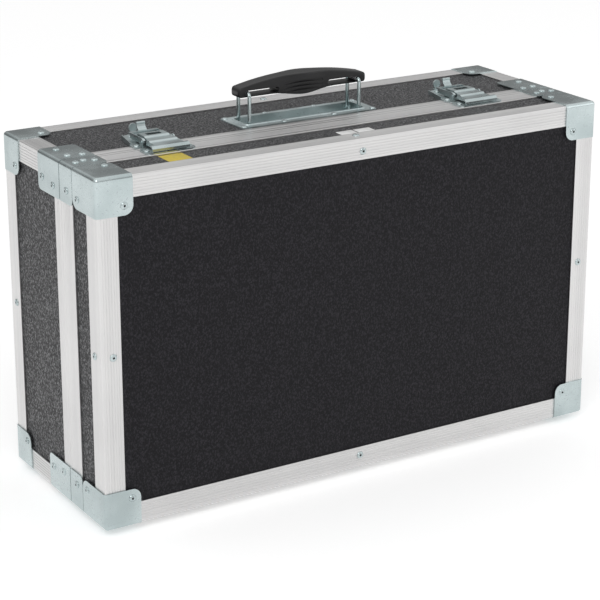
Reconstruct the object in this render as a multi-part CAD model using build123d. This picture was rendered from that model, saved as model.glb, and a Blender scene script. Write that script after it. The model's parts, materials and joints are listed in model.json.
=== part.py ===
from build123d import *
import math
import os

os.makedirs("parts", exist_ok=True)

# Case measured over its aluminium edges; it stands on its long narrow side, lid to the front
case_width = 558.0
case_height = 336.0
base_depth = 125.0
lid_depth = 73.0
joint_gap = 0.4

# Flats of a small round piece or hole, and steps of a rounded bend
round_sides = 12
bend_steps = 4

# Laminated plywood panels; the edges stand proud of them by their own wall
panel_thick = 7.0
edge_wall = 1.6
edge_leg = 21.0
edge_round = 3.0
edge_rib_depth = 0.5
edge_rib_width = 1.2
edge_rib_pitch = 4.5
edge_rib_start = 6.5
edge_end_gap = 0.2

# Closing frames: interlocking profiles along the joint
base_band = 14.0
lid_band = 24.0
web_depth = 5.0
inner_lip = 1.4
inner_lip_depth = 12.0
tongue_thick = 2.0
tongue_height = 2.2
tongue_inset = 4.0
tongue_room = 0.6

# Zinc plated corner caps and braces, pressed from sheet
cap_sheet = 1.2
cap_leg = 36.0
base_cap_depth = 34.0
cap_corner_round = 9.0
cap_edge_round = 3.8
base_brace_length = 46.0
lid_brace_length = 26.0
brace_gap = 0.5
brace_corner_round = 5.0
brace_joint_round = 1.5
cap_brace_gap = 0.7

# Blind rivets
rivet_radius = 3.6
rivet_top_radius = 2.3
rivet_height = 1.3
rivet_sides = 6
cap_rivet_inset = 9.0
base_brace_flat_rivets = [(13.0, 36.0), (13.0, 12.0), (27.0, 10.0)]
base_brace_side_rivets = [(23.0, 38.0), (26.0, 15.0)]
lid_brace_flat_rivets = [(9.0, -14.0), (18.5, -10.0), (28.0, -14.0)]
lid_brace_side_rivets = [(24.0, -14.0)]
edge_rivet_inset = 12.5

# Rubber feet
foot_height = 8.0
foot_radius = 10.0
foot_top_radius = 11.5
foot_recess_radius = 4.5
foot_recess_depth = 3.0
foot_sides = 20
foot_x = 190.0
base_foot_y = 60.0

# Hinges under the joint
hinge_x = 150.0
hinge_length = 60.0
hinge_knuckles = 5
hinge_sheet = 1.2
hinge_pin_radius = 1.5
hinge_pin_play = 0.07
knuckle_wall = 1.3
knuckle_radius = hinge_pin_radius + knuckle_wall
hinge_axis_drop = knuckle_radius + 0.2
knuckle_gap = 0.3
base_leaf_reach = 34.0
lid_leaf_inset = 3.0
hinge_rivet_spacing = 22.0
hinge_rivet_edge = 7.0

# Foam lining
foam_back_thick = 20.0
foam_side_thick = 15.0
foam_lid_thick = 30.0
foam_play = 0.3
foam_mouth = 13.0

# Drop handle: two wire bails swing in towards each other and the grip sinks between them
handle_y = 16.5
dish_sheet = 1.2
dish_corner_round = 3.0
pan_depth = 7.0
pan_round = 5.0
bead_width = 2.0
bead_height = 0.8
dish_cutout_play = 2.0
dish_rivet_edge = 3.8
dish_rivet_side_gap = 0.1
dish_rivet_end_gap = 0.7
dish_rivet_x = 28.5
wire_radius = 1.9
wire_floor_gap = 1.3
wire_wall_gap = 0.9
bail_x = 63.0
bail_leg = 33.4
bail_end_out = 2.0
bail_end_play = 0.5
bail_low_bend = 2.5
bail_top_bend = 3.2
bail_hole_play = 0.09
bail_pan_end_gap = 3.1
grip_rest_gap = 0.3
bush_wall = 0.42
bush_play = 0.08
bush_length = 15.0
grip_end_half_width = 8.5
grip_bail_play = 0.4
grip_belly_extra = 0.2
grip_belly_end_gap = 1.3
grip_belly_fade = 10.0
grip_end_wall = 7.1
grip_end_under = 4.0
grip_end_over = 5.0
grip_belly_under = 7.5
grip_crown_over = 14.0
grip_round = 2.4
grip_slot_play = 0.25
grip_slot_end_play = 0.5
insert_thick = 1.3
insert_side_inset = 2.0
insert_end_inset = 6.0
flute_count = 3
flute_height = 2.2
flute_pitch = 3.6
flute_length = 36.0
flute_depth = 1.4
flute_drop = 1.7

# Draw latches, placed from the joint plane and the top of the edges
latch_x = 176.0
latch_sheet = 1.2
latch_rivet_radius = 3.0
latch_ear_half_width = 25.5
latch_ear_front = 1.5
latch_ear_back = 14.5
latch_ear_bevel = 2.0
latch_ear_rivet_inset = 4.0
latch_body_half_width = 17.0
latch_body_back = 48.0
latch_body_rivet_x = 10.0
latch_body_rivet_inset = 6.0
latch_tail_half_width = 5.0
latch_tail_taper = 4.0
latch_tail_length = 10.2
latch_side_height = 2.4
latch_disc_radius = 4.4
latch_disc_height = 5.4
latch_disc_thick = 1.5
latch_stem_width = 4.4
latch_side_play = 0.4
latch_pin_play = 0.07
lever_half_width = 15.1
lever_wall = 1.4
lever_pin_y = 7.0
lever_pin_radius = 1.5
lever_pin_overhang = 0.6
lever_eye_wall = 1.4
lever_eye_floor_gap = 0.7
lever_floor_gap = 1.2
lever_high = 7.6
lever_web_gap = 5.5
lever_web_length = 4.0
lever_tip_reach = 8.5
lever_tip_z = 13.6
lever_tip_half_width = 4.5
cheek_thick = 1.4
cheek_wall = 2.1
claw_pin_y = 25.0
claw_pin_radius = 1.3
claw_knuckle_wall = 1.2
claw_knuckle_floor_gap = 0.5
claw_sheet = 1.3
claw_side_play = 0.8
claw_front_half_width = 14.6
claw_hook_half_width = 19.5
claw_over_pin_gap = 0.25
claw_ramp = 4.0
claw_step_length = 2.0
claw_high_rise = 1.4
claw_low_drop = 1.3
claw_front_start = 1.0
claw_low_start = -4.0
claw_flange_floor_gap = 1.4
claw_flange_lip_gap = 0.9
claw_hook_floor_gap = 0.5
claw_hook_bend = 2.0
claw_window_width = 15.0
claw_window_length = 6.5
keeper_half_width = 26.0
keeper_back = -3.0
keeper_band_inset = 0.5
keeper_round = 6.0
keeper_lip_inset = 5.5
keeper_lip_radius = 1.6
keeper_lip_half_width = 17.0
keeper_lip_gap = 0.45
keeper_rivet_inset = 4.2
hook_play = 0.3

# Places worked out from the sizes above
half_width = case_width / 2
z_low = foot_height
z_high = z_low + case_height
z_middle = (z_low + z_high) / 2
y_back = (base_depth + lid_depth) / 2
y_front = -y_back
y_joint = y_front + lid_depth
shell_wall = edge_wall + panel_thick
base_face = y_joint + joint_gap / 2
lid_face = y_joint - joint_gap / 2
lid_cap_depth = lid_depth + cap_sheet - brace_gap - lid_brace_length - cap_brace_gap
lid_leaf_reach = lid_band - lid_leaf_inset

# Handle sizes that follow from the wire, its play and the pan
bail_half_spacing = grip_end_half_width + grip_bail_play + wire_radius
pan_width = 2 * (bail_half_spacing + wire_radius + wire_wall_gap)
pan_length = 2 * (bail_x + wire_radius + bail_pan_end_gap)
dish_width = pan_width + 2 * (bead_width + dish_rivet_side_gap + latch_rivet_radius + dish_rivet_edge)
dish_length = pan_length + 2 * (bead_width + dish_rivet_end_gap + latch_rivet_radius + dish_rivet_edge)
pan_floor_drop = edge_wall - dish_sheet + pan_depth
bail_pivot_drop = pan_floor_drop - wire_floor_gap - wire_radius
bail_pivot_z = z_high - bail_pivot_drop
crossbar_z = bail_pivot_z + bail_leg
bail_reach = pan_width / 2 + dish_sheet + bail_end_out
bush_radius = wire_radius + bush_play + bush_wall
bead_top_z = z_high - edge_wall + dish_sheet + bead_height
crossbar_low_z = bead_top_z + grip_rest_gap + grip_end_under
handle_drop_angle = math.acos((crossbar_low_z - bail_pivot_z) / bail_leg)
grip_slide = bail_leg * math.sin(handle_drop_angle)
slot_near = bail_x - grip_slide - bush_radius - grip_slot_end_play
slot_far = bail_x + bush_radius + grip_slot_end_play
slot_half_height = bush_radius + grip_slot_play
grip_half_length = slot_far + grip_end_wall
grip_belly_half_width = bail_half_spacing + grip_belly_extra
grip_belly_half_length = slot_near - grip_belly_end_gap

# Latch sizes that follow from the pins, the sheet and the running gaps
lever_eye_radius = lever_pin_radius + lever_eye_wall
lever_pin_z = latch_sheet + lever_eye_floor_gap + lever_eye_radius
claw_knuckle_radius = claw_pin_radius + claw_knuckle_wall
claw_pin_z = latch_sheet + claw_knuckle_floor_gap + claw_knuckle_radius
claw_half_width = lever_half_width - lever_wall - claw_side_play
claw_mid_z = lever_pin_z + lever_pin_radius + claw_over_pin_gap + claw_sheet / 2
claw_high_z = claw_mid_z + claw_high_rise
claw_low_z = claw_mid_z - claw_low_drop
lever_back = claw_pin_y + claw_knuckle_radius + lever_web_gap
lever_tip_y = lever_back + lever_tip_reach
keeper_front = keeper_band_inset - lid_band
keeper_lip_y = keeper_front + keeper_lip_inset
keeper_lip_z = claw_low_z - claw_sheet / 2 - keeper_lip_gap - keeper_lip_radius
claw_hook_y = keeper_lip_y - keeper_lip_radius - hook_play - claw_sheet / 2
claw_flange_front = keeper_lip_y + keeper_lip_radius + claw_flange_lip_gap
latch_tail_back = latch_body_back + latch_tail_length


def block(x0, x1, y0, y1, z0, z1):
    """A box between two corners."""
    return Pos((x0 + x1) / 2, (y0 + y1) / 2, (z0 + z1) / 2) * Box(x1 - x0, y1 - y0, z1 - z0)


def together(pieces):
    """Several separate solids kept as one node."""
    return Compound(children=list(pieces))


def save(name, shape):
    export_step(shape, f"parts/{name}.step")


def side_profile(points, x0, x1):
    """An outline given as (y, z) points, carried across in X from x0 to x1."""
    face = make_face(Plane.YZ.offset(x0) * Polyline(*points, close=True))
    return extrude(face, amount=x1 - x0, dir=(1, 0, 0))


def bent_strip(points, thick, x0, x1):
    """Sheet metal that follows (y, z) points with the given thickness, carried across in X."""
    line = Polyline(*points)
    face = trace(line, line_width=thick)
    return extrude(Plane.YZ.offset(x0) * face, amount=x1 - x0)


def cross_rod(radius, y, z, x0, x1):
    """A bar parallel to X, round to within its number of flats."""
    plane = Plane(origin=(x0, y, z), x_dir=(0, 1, 0), z_dir=(1, 0, 0))
    return extrude(plane * RegularPolygon(radius, round_sides), amount=x1 - x0)


def round_pin(radius, y, z, half):
    """A truly round pin parallel to X, half its length to each side."""
    return Pos(0, y, z) * Rot(0, 90, 0) * Cylinder(radius, 2 * half)


def cross_bar(radius, x, y, z, length):
    """The same parallel to Y, with its middle at x, y, z."""
    plane = Plane(origin=(x, y - length / 2, z), x_dir=(1, 0, 0), z_dir=(0, 1, 0))
    return extrude(plane * RegularPolygon(radius, round_sides), amount=length)


# Plywood panels
def shell_panels(prefix, big_name, y_big_outer, y_big_inner, y_rim):
    """One large panel and the four narrow ones that stand on its edges, up to the closing frame."""
    x_out = half_width - edge_wall
    x_in = half_width - shell_wall
    z0 = z_low + edge_wall
    z1 = z_high - edge_wall
    near, far = sorted((y_big_inner, y_rim))
    big = block(-x_out, x_out, *sorted((y_big_outer, y_big_inner)), z0, z1)
    return {
        f"{prefix}_{big_name}": big,
        f"{prefix}_top_panel": block(-x_out, x_out, near, far, z1 - panel_thick, z1),
        f"{prefix}_bottom_panel": block(-x_out, x_out, near, far, z0, z0 + panel_thick),
        f"{prefix}_left_panel": block(-x_out, -x_in, near, far, z0 + panel_thick, z1 - panel_thick),
        f"{prefix}_right_panel": block(x_in, x_out, near, far, z0 + panel_thick, z1 - panel_thick),
    }


def angle_face(leg, wall, corner):
    """An equal angle drawn round the origin, with the given outer corner points."""
    return make_face(Polyline(*corner, (leg, 0), (leg, wall), (wall, wall), (wall, leg), (0, leg), close=True))


def bend_points(radius):
    """The steps of a rounded outer corner between the legs, from the second leg to the first."""
    points = []
    for k in range(bend_steps + 1):
        angle = math.radians(180 + 90 * k / bend_steps)
        points.append((radius + radius * math.cos(angle), radius + radius * math.sin(angle)))
    return points


# Aluminium edge profiles
def edge_section():
    """The angle profile: two legs, a rounded outer corner and fine ribs along each leg."""
    face = angle_face(edge_leg, edge_wall, bend_points(edge_round))
    place = edge_rib_start
    while place < edge_leg - edge_rib_width:
        for turn in (0, 1):
            groove = [(place, 0), (place + edge_rib_width, 0), (place + edge_rib_width / 2, edge_rib_depth)]
            if turn:
                groove = [(y, x) for x, y in groove]
            face -= make_face(Polyline(*groove, close=True))
        place += edge_rib_pitch
    return face


def edge_bar(start, end, toward_a, toward_b):
    """One length of edge profile along an outer corner line, with its legs towards a and b."""
    start, end = Vector(*start), Vector(*end)
    along = end - start
    if along.cross(Vector(*toward_a)).dot(Vector(*toward_b)) < 0:
        start, along = end, along * -1
    plane = Plane(origin=start, x_dir=toward_a, z_dir=along)
    return extrude(plane * edge_section(), amount=along.length)


def rectangle_edges(y_outer, inward):
    """Four bars round the large face at y_outer; inward is the way into the shell along Y."""
    short = edge_leg + edge_end_gap
    x_end = half_width - short
    bars = []
    for z, down in ((z_high, -1), (z_low, 1)):
        bars.append(edge_bar((-x_end, y_outer, z), (x_end, y_outer, z), (0, inward, 0), (0, 0, down)))
    for side in (-1, 1):
        x = side * half_width
        low, high = (x, y_outer, z_low + short), (x, y_outer, z_high - short)
        bars.append(edge_bar(low, high, (0, inward, 0), (-side, 0, 0)))
    return bars


def depth_edges(y_outer, y_band, inward):
    """Four bars along Y, from the corner to the closing frame."""
    start = y_outer + inward * (edge_leg + edge_end_gap)
    end = y_band - inward * edge_end_gap
    bars = []
    for side in (-1, 1):
        for z, down in ((z_high, -1), (z_low, 1)):
            x = side * half_width
            bars.append(edge_bar((x, start, z), (x, end, z), (-side, 0, 0), (0, 0, down)))
    return bars


# Closing frames
def frame_ring(face_y, into, outer_inset, inner_inset, start, end):
    """A rectangular ring between two insets from the outer face, from start to end into the shell."""
    plane = Plane(origin=(0, face_y + into * start, z_middle), x_dir=(1, 0, 0), z_dir=(0, into, 0))
    outer = Rectangle(case_width - 2 * outer_inset, case_height - 2 * outer_inset)
    if outer_inset < edge_wall:
        outer = chamfer(outer.vertices(), flat_of(edge_round))
    inner = Rectangle(case_width - 2 * inner_inset, case_height - 2 * inner_inset)
    return extrude(plane * (outer - inner), amount=end - start)


def mitred(ring, face_y, into, reach):
    """Cuts a ring along the diagonals of its corners into the four lengths it is made of."""
    wide = shell_wall + inner_lip + 1
    x1, z1 = half_width + 1, case_height / 2 + 1
    x0, z0 = x1 - wide, z1 - wide
    wedges = [
        [(-x1, z1), (x1, z1), (x0, z0), (-x0, z0)],
        [(-x1, -z1), (x1, -z1), (x0, -z0), (-x0, -z0)],
        [(-x1, -z1), (-x1, z1), (-x0, z0), (-x0, -z0)],
        [(x1, -z1), (x1, z1), (x0, z0), (x0, -z0)],
    ]
    bars = []
    for corners in wedges:
        wire = Polyline(*[(x, face_y, z_middle + z) for x, z in corners], close=True)
        wedge = extrude(make_face(wire), amount=reach, dir=(0, into, 0), both=True)
        bars.append((ring & wedge).solids()[0])
    return bars


def closing_frame(face_y, into, band):
    """Outer flange, closing web and inner lip that grip the panel edges."""
    inner = shell_wall + inner_lip
    ring = frame_ring(face_y, into, 0, edge_wall, 0, band)
    ring += frame_ring(face_y, into, edge_wall, inner, 0, web_depth)
    ring += frame_ring(face_y, into, shell_wall, inner, web_depth, inner_lip_depth)
    place = edge_rib_start
    while place < band - edge_rib_width:
        ring -= frame_ring(face_y, into, -1, edge_rib_depth, place, place + edge_rib_width)
        place += 2 * edge_rib_pitch
    return ring


def base_closing_frame():
    ring = closing_frame(base_face, 1, base_band)
    low = tongue_inset - tongue_room
    high = tongue_inset + tongue_thick + tongue_room
    ring -= frame_ring(base_face, 1, low, high, 0, tongue_height + tongue_room)
    return mitred(ring, base_face, 1, base_band + 1)


def lid_closing_frame():
    ring = closing_frame(lid_face, -1, lid_band)
    ring += frame_ring(lid_face, 1, tongue_inset, tongue_inset + tongue_thick, 0, tongue_height)
    return mitred(ring, lid_face, -1, lid_band + 1)


# Corner caps and braces
def at_corner(shape, right, back, top, y_corner):
    """Turns a piece made for the left, front, low corner to any corner by mirroring, and puts it there."""
    if right:
        shape = mirror(shape, Plane.YZ)
    if back:
        shape = mirror(shape, Plane.XZ)
    if top:
        shape = mirror(shape, Plane.XY)
    x = half_width + cap_sheet
    return Pos(x if right else -x, y_corner, z_high + cap_sheet if top else z_low - cap_sheet) * shape


def edges_at(shape, places):
    """Edges whose centres lie on exactly two of the three given planes x, y and z."""
    found = []
    for edge in shape.edges():
        c = edge.center()
        hits = [abs(value - place) < 0.01 for value, place in zip((c.X, c.Y, c.Z), places)]
        if sum(hits) == 2:
            found.append(edge)
    return found


def flat_of(radius):
    """The leg of the bevel that touches a rounded edge of the given radius."""
    return (2 - math.sqrt(2)) * radius


def corner_cap(depth):
    """Three square plates meeting at a bevelled corner; each has one rounded free corner."""
    leg = cap_leg + cap_sheet
    size = (leg, depth, leg)
    outer = block(0, leg, 0, depth, 0, leg)
    outer = chamfer(edges_at(outer, (0, 0, 0)), flat_of(cap_edge_round))
    inner = block(cap_sheet, 2 * leg, cap_sheet, 2 * depth, cap_sheet, 2 * leg)
    inner = chamfer(edges_at(inner, (cap_sheet, cap_sheet, cap_sheet)), flat_of(cap_edge_round - cap_sheet))
    cap = outer - inner
    free = [edge for edge in edges_at(cap, size) if edge.length < 2 * cap_sheet]
    return fillet(free, cap_corner_round)


def plate_corners(shape, leg, y):
    """The short edges through the sheet at the free corners of an angle plate, at one end of it."""
    found = []
    for edge in shape.edges():
        c = edge.center()
        free = abs(c.X - leg) < 0.01 or abs(c.Z - leg) < 0.01
        if edge.length < 2 * cap_sheet and free and abs(c.Y - y) < 0.01:
            found.append(edge)
    return found


def corner_brace(length):
    """An angle plate over the closing corner; the joint end is at y = 0."""
    leg = cap_leg + cap_sheet
    face = angle_face(leg, cap_sheet, bend_points(cap_edge_round))
    inner = [v for v in face.vertices() if abs(v.X - cap_sheet) < 0.01 and abs(v.Y - cap_sheet) < 0.01]
    face = chamfer(inner, flat_of(cap_edge_round - cap_sheet))
    plane = Plane(origin=(0, 0, 0), x_dir=(1, 0, 0), z_dir=(0, -1, 0))
    brace = extrude(plane * face, amount=-length)
    brace = chamfer(plate_corners(brace, leg, length), flat_of(brace_corner_round))
    return chamfer(plate_corners(brace, leg, 0), flat_of(brace_joint_round))


def corners(shape, back, y_corner):
    """The four corners of one shell."""
    return [at_corner(shape, right, back, top, y_corner) for right in (False, True) for top in (False, True)]


# Rivets
def rivet(point, direction, radius=rivet_radius):
    """A low domed head on a surface point."""
    plane = Plane(origin=point, z_dir=direction)
    foot = plane * RegularPolygon(radius, rivet_sides)
    crown = plane.offset(rivet_height) * RegularPolygon(radius * rivet_top_radius / rivet_radius, rivet_sides)
    return loft([foot.face(), crown.face()])


def cap_rivets(y_corner, inward, depth):
    """One rivet near the free corner of each of the three plates of a cap."""
    far = cap_leg - cap_rivet_inset
    y_far = y_corner + inward * (depth - cap_rivet_inset)
    heads = []
    for side in (-1, 1):
        for top in (-1, 1):
            x_face = side * (half_width + cap_sheet)
            z_face = z_high + cap_sheet if top > 0 else z_low - cap_sheet
            x_in = side * (half_width - far)
            z_in = z_high - far if top > 0 else z_low + far
            heads.append(rivet((x_in, y_corner, z_in), (0, -inward, 0)))
            heads.append(rivet((x_face, y_far, z_in), (side, 0, 0)))
            heads.append(rivet((x_in, y_far, z_face), (0, 0, top)))
    return heads


def brace_rivets(flat_places, side_places):
    """Rivets of the braces: a place is its distance from the outer corner and from the joint."""
    heads = []
    for side in (-1, 1):
        for top in (-1, 1):
            x_face = side * (half_width + cap_sheet)
            z_face = z_high + cap_sheet if top > 0 else z_low - cap_sheet
            for inset, y in flat_places:
                heads.append(rivet((side * (half_width - inset), y_joint + y, z_face), (0, 0, top)))
            for inset, y in side_places:
                z = z_high - inset if top > 0 else z_low + inset
                heads.append(rivet((x_face, y_joint + y, z), (side, 0, 0)))
    return heads


def edge_rivets(y_outer, inward):
    """A rivet in the middle of each leg of the four bars round a large face."""
    y_leg = y_outer + inward * edge_rivet_inset
    heads = []
    for top in (-1, 1):
        z = z_high if top > 0 else z_low
        heads.append(rivet((0, y_outer, z - top * edge_rivet_inset), (0, -inward, 0)))
        heads.append(rivet((0, y_leg, z), (0, 0, top)))
    for side in (-1, 1):
        x = side * half_width
        heads.append(rivet((x - side * edge_rivet_inset, y_outer, z_middle), (0, -inward, 0)))
        heads.append(rivet((x, y_leg, z_middle), (side, 0, 0)))
    return heads


# Feet
def foot(x, y):
    """A tapered rubber foot with a screw recess, standing on the ground under a panel."""
    height = foot_height + edge_wall
    low = Plane.XY * RegularPolygon(foot_radius, foot_sides)
    high = Plane.XY.offset(height) * RegularPolygon(foot_top_radius, foot_sides)
    body = loft([low.face(), high.face()])
    body -= extrude(RegularPolygon(foot_recess_radius, round_sides), amount=foot_recess_depth)
    return Pos(x, y, 0) * body


# Hinges
def knuckle_spans(first):
    """The lengths of the barrel that belong to one leaf, as (x0, x1) from the hinge's middle."""
    pitch = hinge_length / hinge_knuckles
    spans = []
    for k in range(first, hinge_knuckles, 2):
        x0 = -hinge_length / 2 + k * pitch
        spans.append((x0 + knuckle_gap / 2, x0 + pitch - knuckle_gap / 2))
    return spans


def hinge_leaf(first, plate_points):
    """A leaf of bent sheet with its share of the knuckles."""
    half = hinge_length / 2
    leaf = side_profile(plate_points, -half, half)
    clear = knuckle_radius + knuckle_gap
    for x0, x1 in knuckle_spans(1 - first):
        leaf -= block(x0 - knuckle_gap, x1 + knuckle_gap, -clear, clear, -clear, clear + knuckle_radius)
    for x0, x1 in knuckle_spans(first):
        leaf += cross_rod(knuckle_radius, 0, 0, x0, x1)
    return leaf - cross_rod(hinge_pin_radius + hinge_pin_play, 0, 0, -half - 1, half + 1)


def hinge_leaves():
    """The base leaf is joggled down onto the recessed panel; the lid leaf lies flat on its closing frame."""
    top = hinge_axis_drop
    low = top - hinge_sheet
    step = base_band + joint_gap / 2 + 1
    up = edge_wall
    start = joint_gap / 2
    base_points = [
        (start, low), (step, low), (step + up, low + up), (base_leaf_reach, low + up),
        (base_leaf_reach, top + up), (step, top + up), (step - 0.4, top), (start, top),
    ]
    lid_points = [(-start, low), (-lid_leaf_reach, low), (-lid_leaf_reach, top), (-start, top)]
    return hinge_leaf(0, base_points), hinge_leaf(1, lid_points)


# Handle
def dish_plane():
    return Plane(origin=(0, handle_y, z_high - edge_wall))


def handle_dish():
    """A pressed plate with a flat bottomed pan, a raised bead round it and holes for the bail ends."""
    plane = dish_plane()
    top = plane.offset(dish_sheet)
    plate = extrude(plane * RectangleRounded(dish_length, dish_width, dish_corner_round), amount=dish_sheet)
    outer_pan = RectangleRounded(pan_length + 2 * dish_sheet, pan_width + 2 * dish_sheet, pan_round)
    plate += extrude(plane * outer_pan, amount=-pan_depth)
    bead = RectangleRounded(pan_length + 2 * bead_width, pan_width + 2 * bead_width, pan_round)
    plate += extrude(top * bead, amount=bead_height, taper=30)
    inner_pan = RectangleRounded(pan_length, pan_width, pan_round - dish_sheet)
    plate -= extrude(top.offset(bead_height) * inner_pan, amount=-pan_depth - bead_height)
    for side in (-1, 1):
        hole = Pos(side * bail_x, handle_y, bail_pivot_z) * Rot(90, 0, 0)
        plate -= hole * Cylinder(wire_radius + bail_hole_play, 2 * bail_reach)
    return plate


def bend(before, corner, after, radius):
    """Steps along the rounded corner between two square runs of wire, given as (y, z) points."""
    before, corner, after = Vector(*before), Vector(*corner), Vector(*after)
    into, out = (corner - before).normalized(), (after - corner).normalized()
    centre = corner + (out - into) * radius
    steps = [math.radians(90 * k / bend_steps) for k in range(bend_steps + 1)]
    return [centre + (into * math.sin(t) - out * math.cos(t)) * radius for t in steps]


def bail(side):
    """One bent wire: a crossbar in the grip, two legs, and ends that turn outwards into the dish."""
    low, high = bail_pivot_z, crossbar_z
    half, reach = bail_half_spacing, bail_reach
    corners_yz = [(-reach, low), (-half, low), (-half, high), (half, high), (half, low), (reach, low)]
    radii = [bail_low_bend, bail_top_bend, bail_top_bend, bail_low_bend]
    line = [Vector(*corners_yz[0])]
    for k, radius in enumerate(radii):
        line += bend(*corners_yz[k:k + 3], radius)
    line.append(Vector(*corners_yz[-1]))
    path = Polyline(*[(0, point.X, point.Y) for point in line])
    plane = Plane(origin=(0, -reach, low), x_dir=(1, 0, 0), z_dir=(0, 1, 0))
    wire = sweep(plane * RegularPolygon(wire_radius, round_sides), path=path, transition=Transition.RIGHT)
    return Pos(side * bail_x, handle_y, 0) * wire


def bush(side):
    """The sleeve on a crossbar that slides in the slot of the grip."""
    sleeve = cross_bar(bush_radius, side * bail_x, handle_y, crossbar_z, bush_length)
    bore = Pos(side * bail_x, handle_y, crossbar_z) * Rot(90, 0, 0)
    return sleeve - bore * Cylinder(wire_radius + bush_play, bush_length + 2)


def bulge(side):
    """One long edge of the grip seen from above, swelling towards the middle."""
    reach, end, middle = grip_belly_half_length, grip_end_half_width, grip_belly_half_width
    points = [(side * reach, side * end), (0, side * middle), (-side * reach, side * end)]
    return Spline(*points, tangents=[(-side, 0), (-side, 0)])


def grip_outlines():
    """The grip's outline from the side, with its arched top and belly, and its outline from above."""
    end = grip_half_length
    low, high = -grip_end_under, grip_end_over
    belly = grip_belly_half_length + grip_belly_fade
    side = [
        Line((-end, low), (-end, high)),
        ThreePointArc((-end, high), (0, grip_crown_over), (end, high)),
        Line((end, high), (end, low)),
        Line((end, low), (belly, low)),
        Spline((belly, low), (0, -grip_belly_under), (-belly, low), tangents=[(-1, 0), (-1, 0)]),
        Line((-belly, low), (-end, low)),
    ]
    near, half = grip_belly_half_length, grip_end_half_width
    plan = [
        bulge(1),
        Line((-near, half), (-end, half)),
        Line((-end, half), (-end, -half)),
        Line((-end, -half), (-near, -half)),
        bulge(-1),
        Line((near, -half), (end, -half)),
        Line((end, -half), (end, half)),
        Line((end, half), (near, half)),
    ]
    return make_face(side), make_face(plan)


def side_plane(x, z, side=1):
    """A plane across the handle that faces the front, or the back for side = -1."""
    return Plane(origin=(x, handle_y, z), x_dir=(1, 0, 0), z_dir=(0, -side, 0))


def handle_grip():
    """An arched moulded grip: side outline and plan outline carried through each other, then cut."""
    side_face, plan_face = grip_outlines()
    body = extrude(side_plane(0, crossbar_z) * side_face, amount=2 * grip_belly_half_width, both=True)
    body &= extrude(Pos(0, handle_y, crossbar_z) * plan_face, amount=2 * grip_crown_over, both=True)
    body = fillet(body.edges().filter_by(Axis.Z), grip_round)
    for side in (-1, 1):
        slot = side_plane(side * (slot_near + slot_far) / 2, crossbar_z) * SlotOverall(
            slot_far - slot_near, 2 * slot_half_height
        )
        body -= extrude(slot, amount=2 * grip_belly_half_width, both=True)
    body -= insert_block()
    for k in range(flute_count):
        z = crossbar_z - flute_drop + k * flute_pitch
        for side in (-1, 1):
            plane = side_plane(0, z, side).offset(grip_belly_half_width)
            body -= extrude(plane * Rectangle(flute_length, flute_height), amount=-flute_depth)
    return body


def insert_block():
    """The flat steel strip moulded into the grip, over the slots."""
    z = crossbar_z + slot_half_height
    reach = grip_half_length - insert_end_inset
    half = grip_end_half_width - insert_side_inset
    return block(-reach, reach, handle_y - half, handle_y + half, z, z + insert_thick)


# Latches, made about their own middle line at the joint, with z = 0 on the edges
def sheet_on(points, low, high):
    """A flat outline in X and Y given a thickness from low to high."""
    return extrude(Plane.XY.offset(low) * make_face(Polyline(*points, close=True)), amount=high - low)


def pin_cheek(x0, x1):
    """An upright ear with a round top and a hole for the lever pin."""
    reach = lever_pin_radius + cheek_wall
    cheek = cross_rod(reach, lever_pin_y, lever_pin_z, x0, x1)
    cheek += block(x0, x1, lever_pin_y - reach, lever_pin_y + reach, latch_sheet / 2, lever_pin_z)
    return cheek - cross_rod(lever_pin_radius + latch_pin_play, lever_pin_y, lever_pin_z, x0 - 1, x1 + 1)


def latch_base():
    """The plate under the lever, with ears, side walls, cheeks for the pin and an upright disc."""
    body, tail, ear = latch_body_half_width, latch_tail_half_width, latch_ear_half_width
    shoulder = (ear - latch_ear_bevel, latch_ear_back + latch_ear_bevel)
    half = [
        (ear, latch_ear_front), (ear, latch_ear_back), shoulder, (body, latch_body_back),
        (tail, latch_body_back + latch_tail_taper), (tail, latch_tail_back),
    ]
    plate = sheet_on(half + [(-x, y) for x, y in reversed(half)], 0, latch_sheet)
    cheek_in = lever_half_width + latch_side_play
    for side in (-1, 1):
        wall = [
            (side * body, latch_body_back), (side * shoulder[0], shoulder[1]),
            (side * (shoulder[0] - latch_sheet), shoulder[1]), (side * (body - latch_sheet), latch_body_back),
        ]
        plate += sheet_on(wall, -edge_wall, latch_side_height)
        plate += pin_cheek(*sorted((side * cheek_in, side * (cheek_in + cheek_thick))))
    y0 = latch_tail_back - latch_disc_thick
    tab = block(-latch_stem_width / 2, latch_stem_width / 2, y0, latch_tail_back, 0, latch_disc_height)
    disc = cross_bar(latch_disc_radius, 0, (y0 + latch_tail_back) / 2, latch_disc_height, latch_disc_thick)
    return plate + tab + disc


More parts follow.
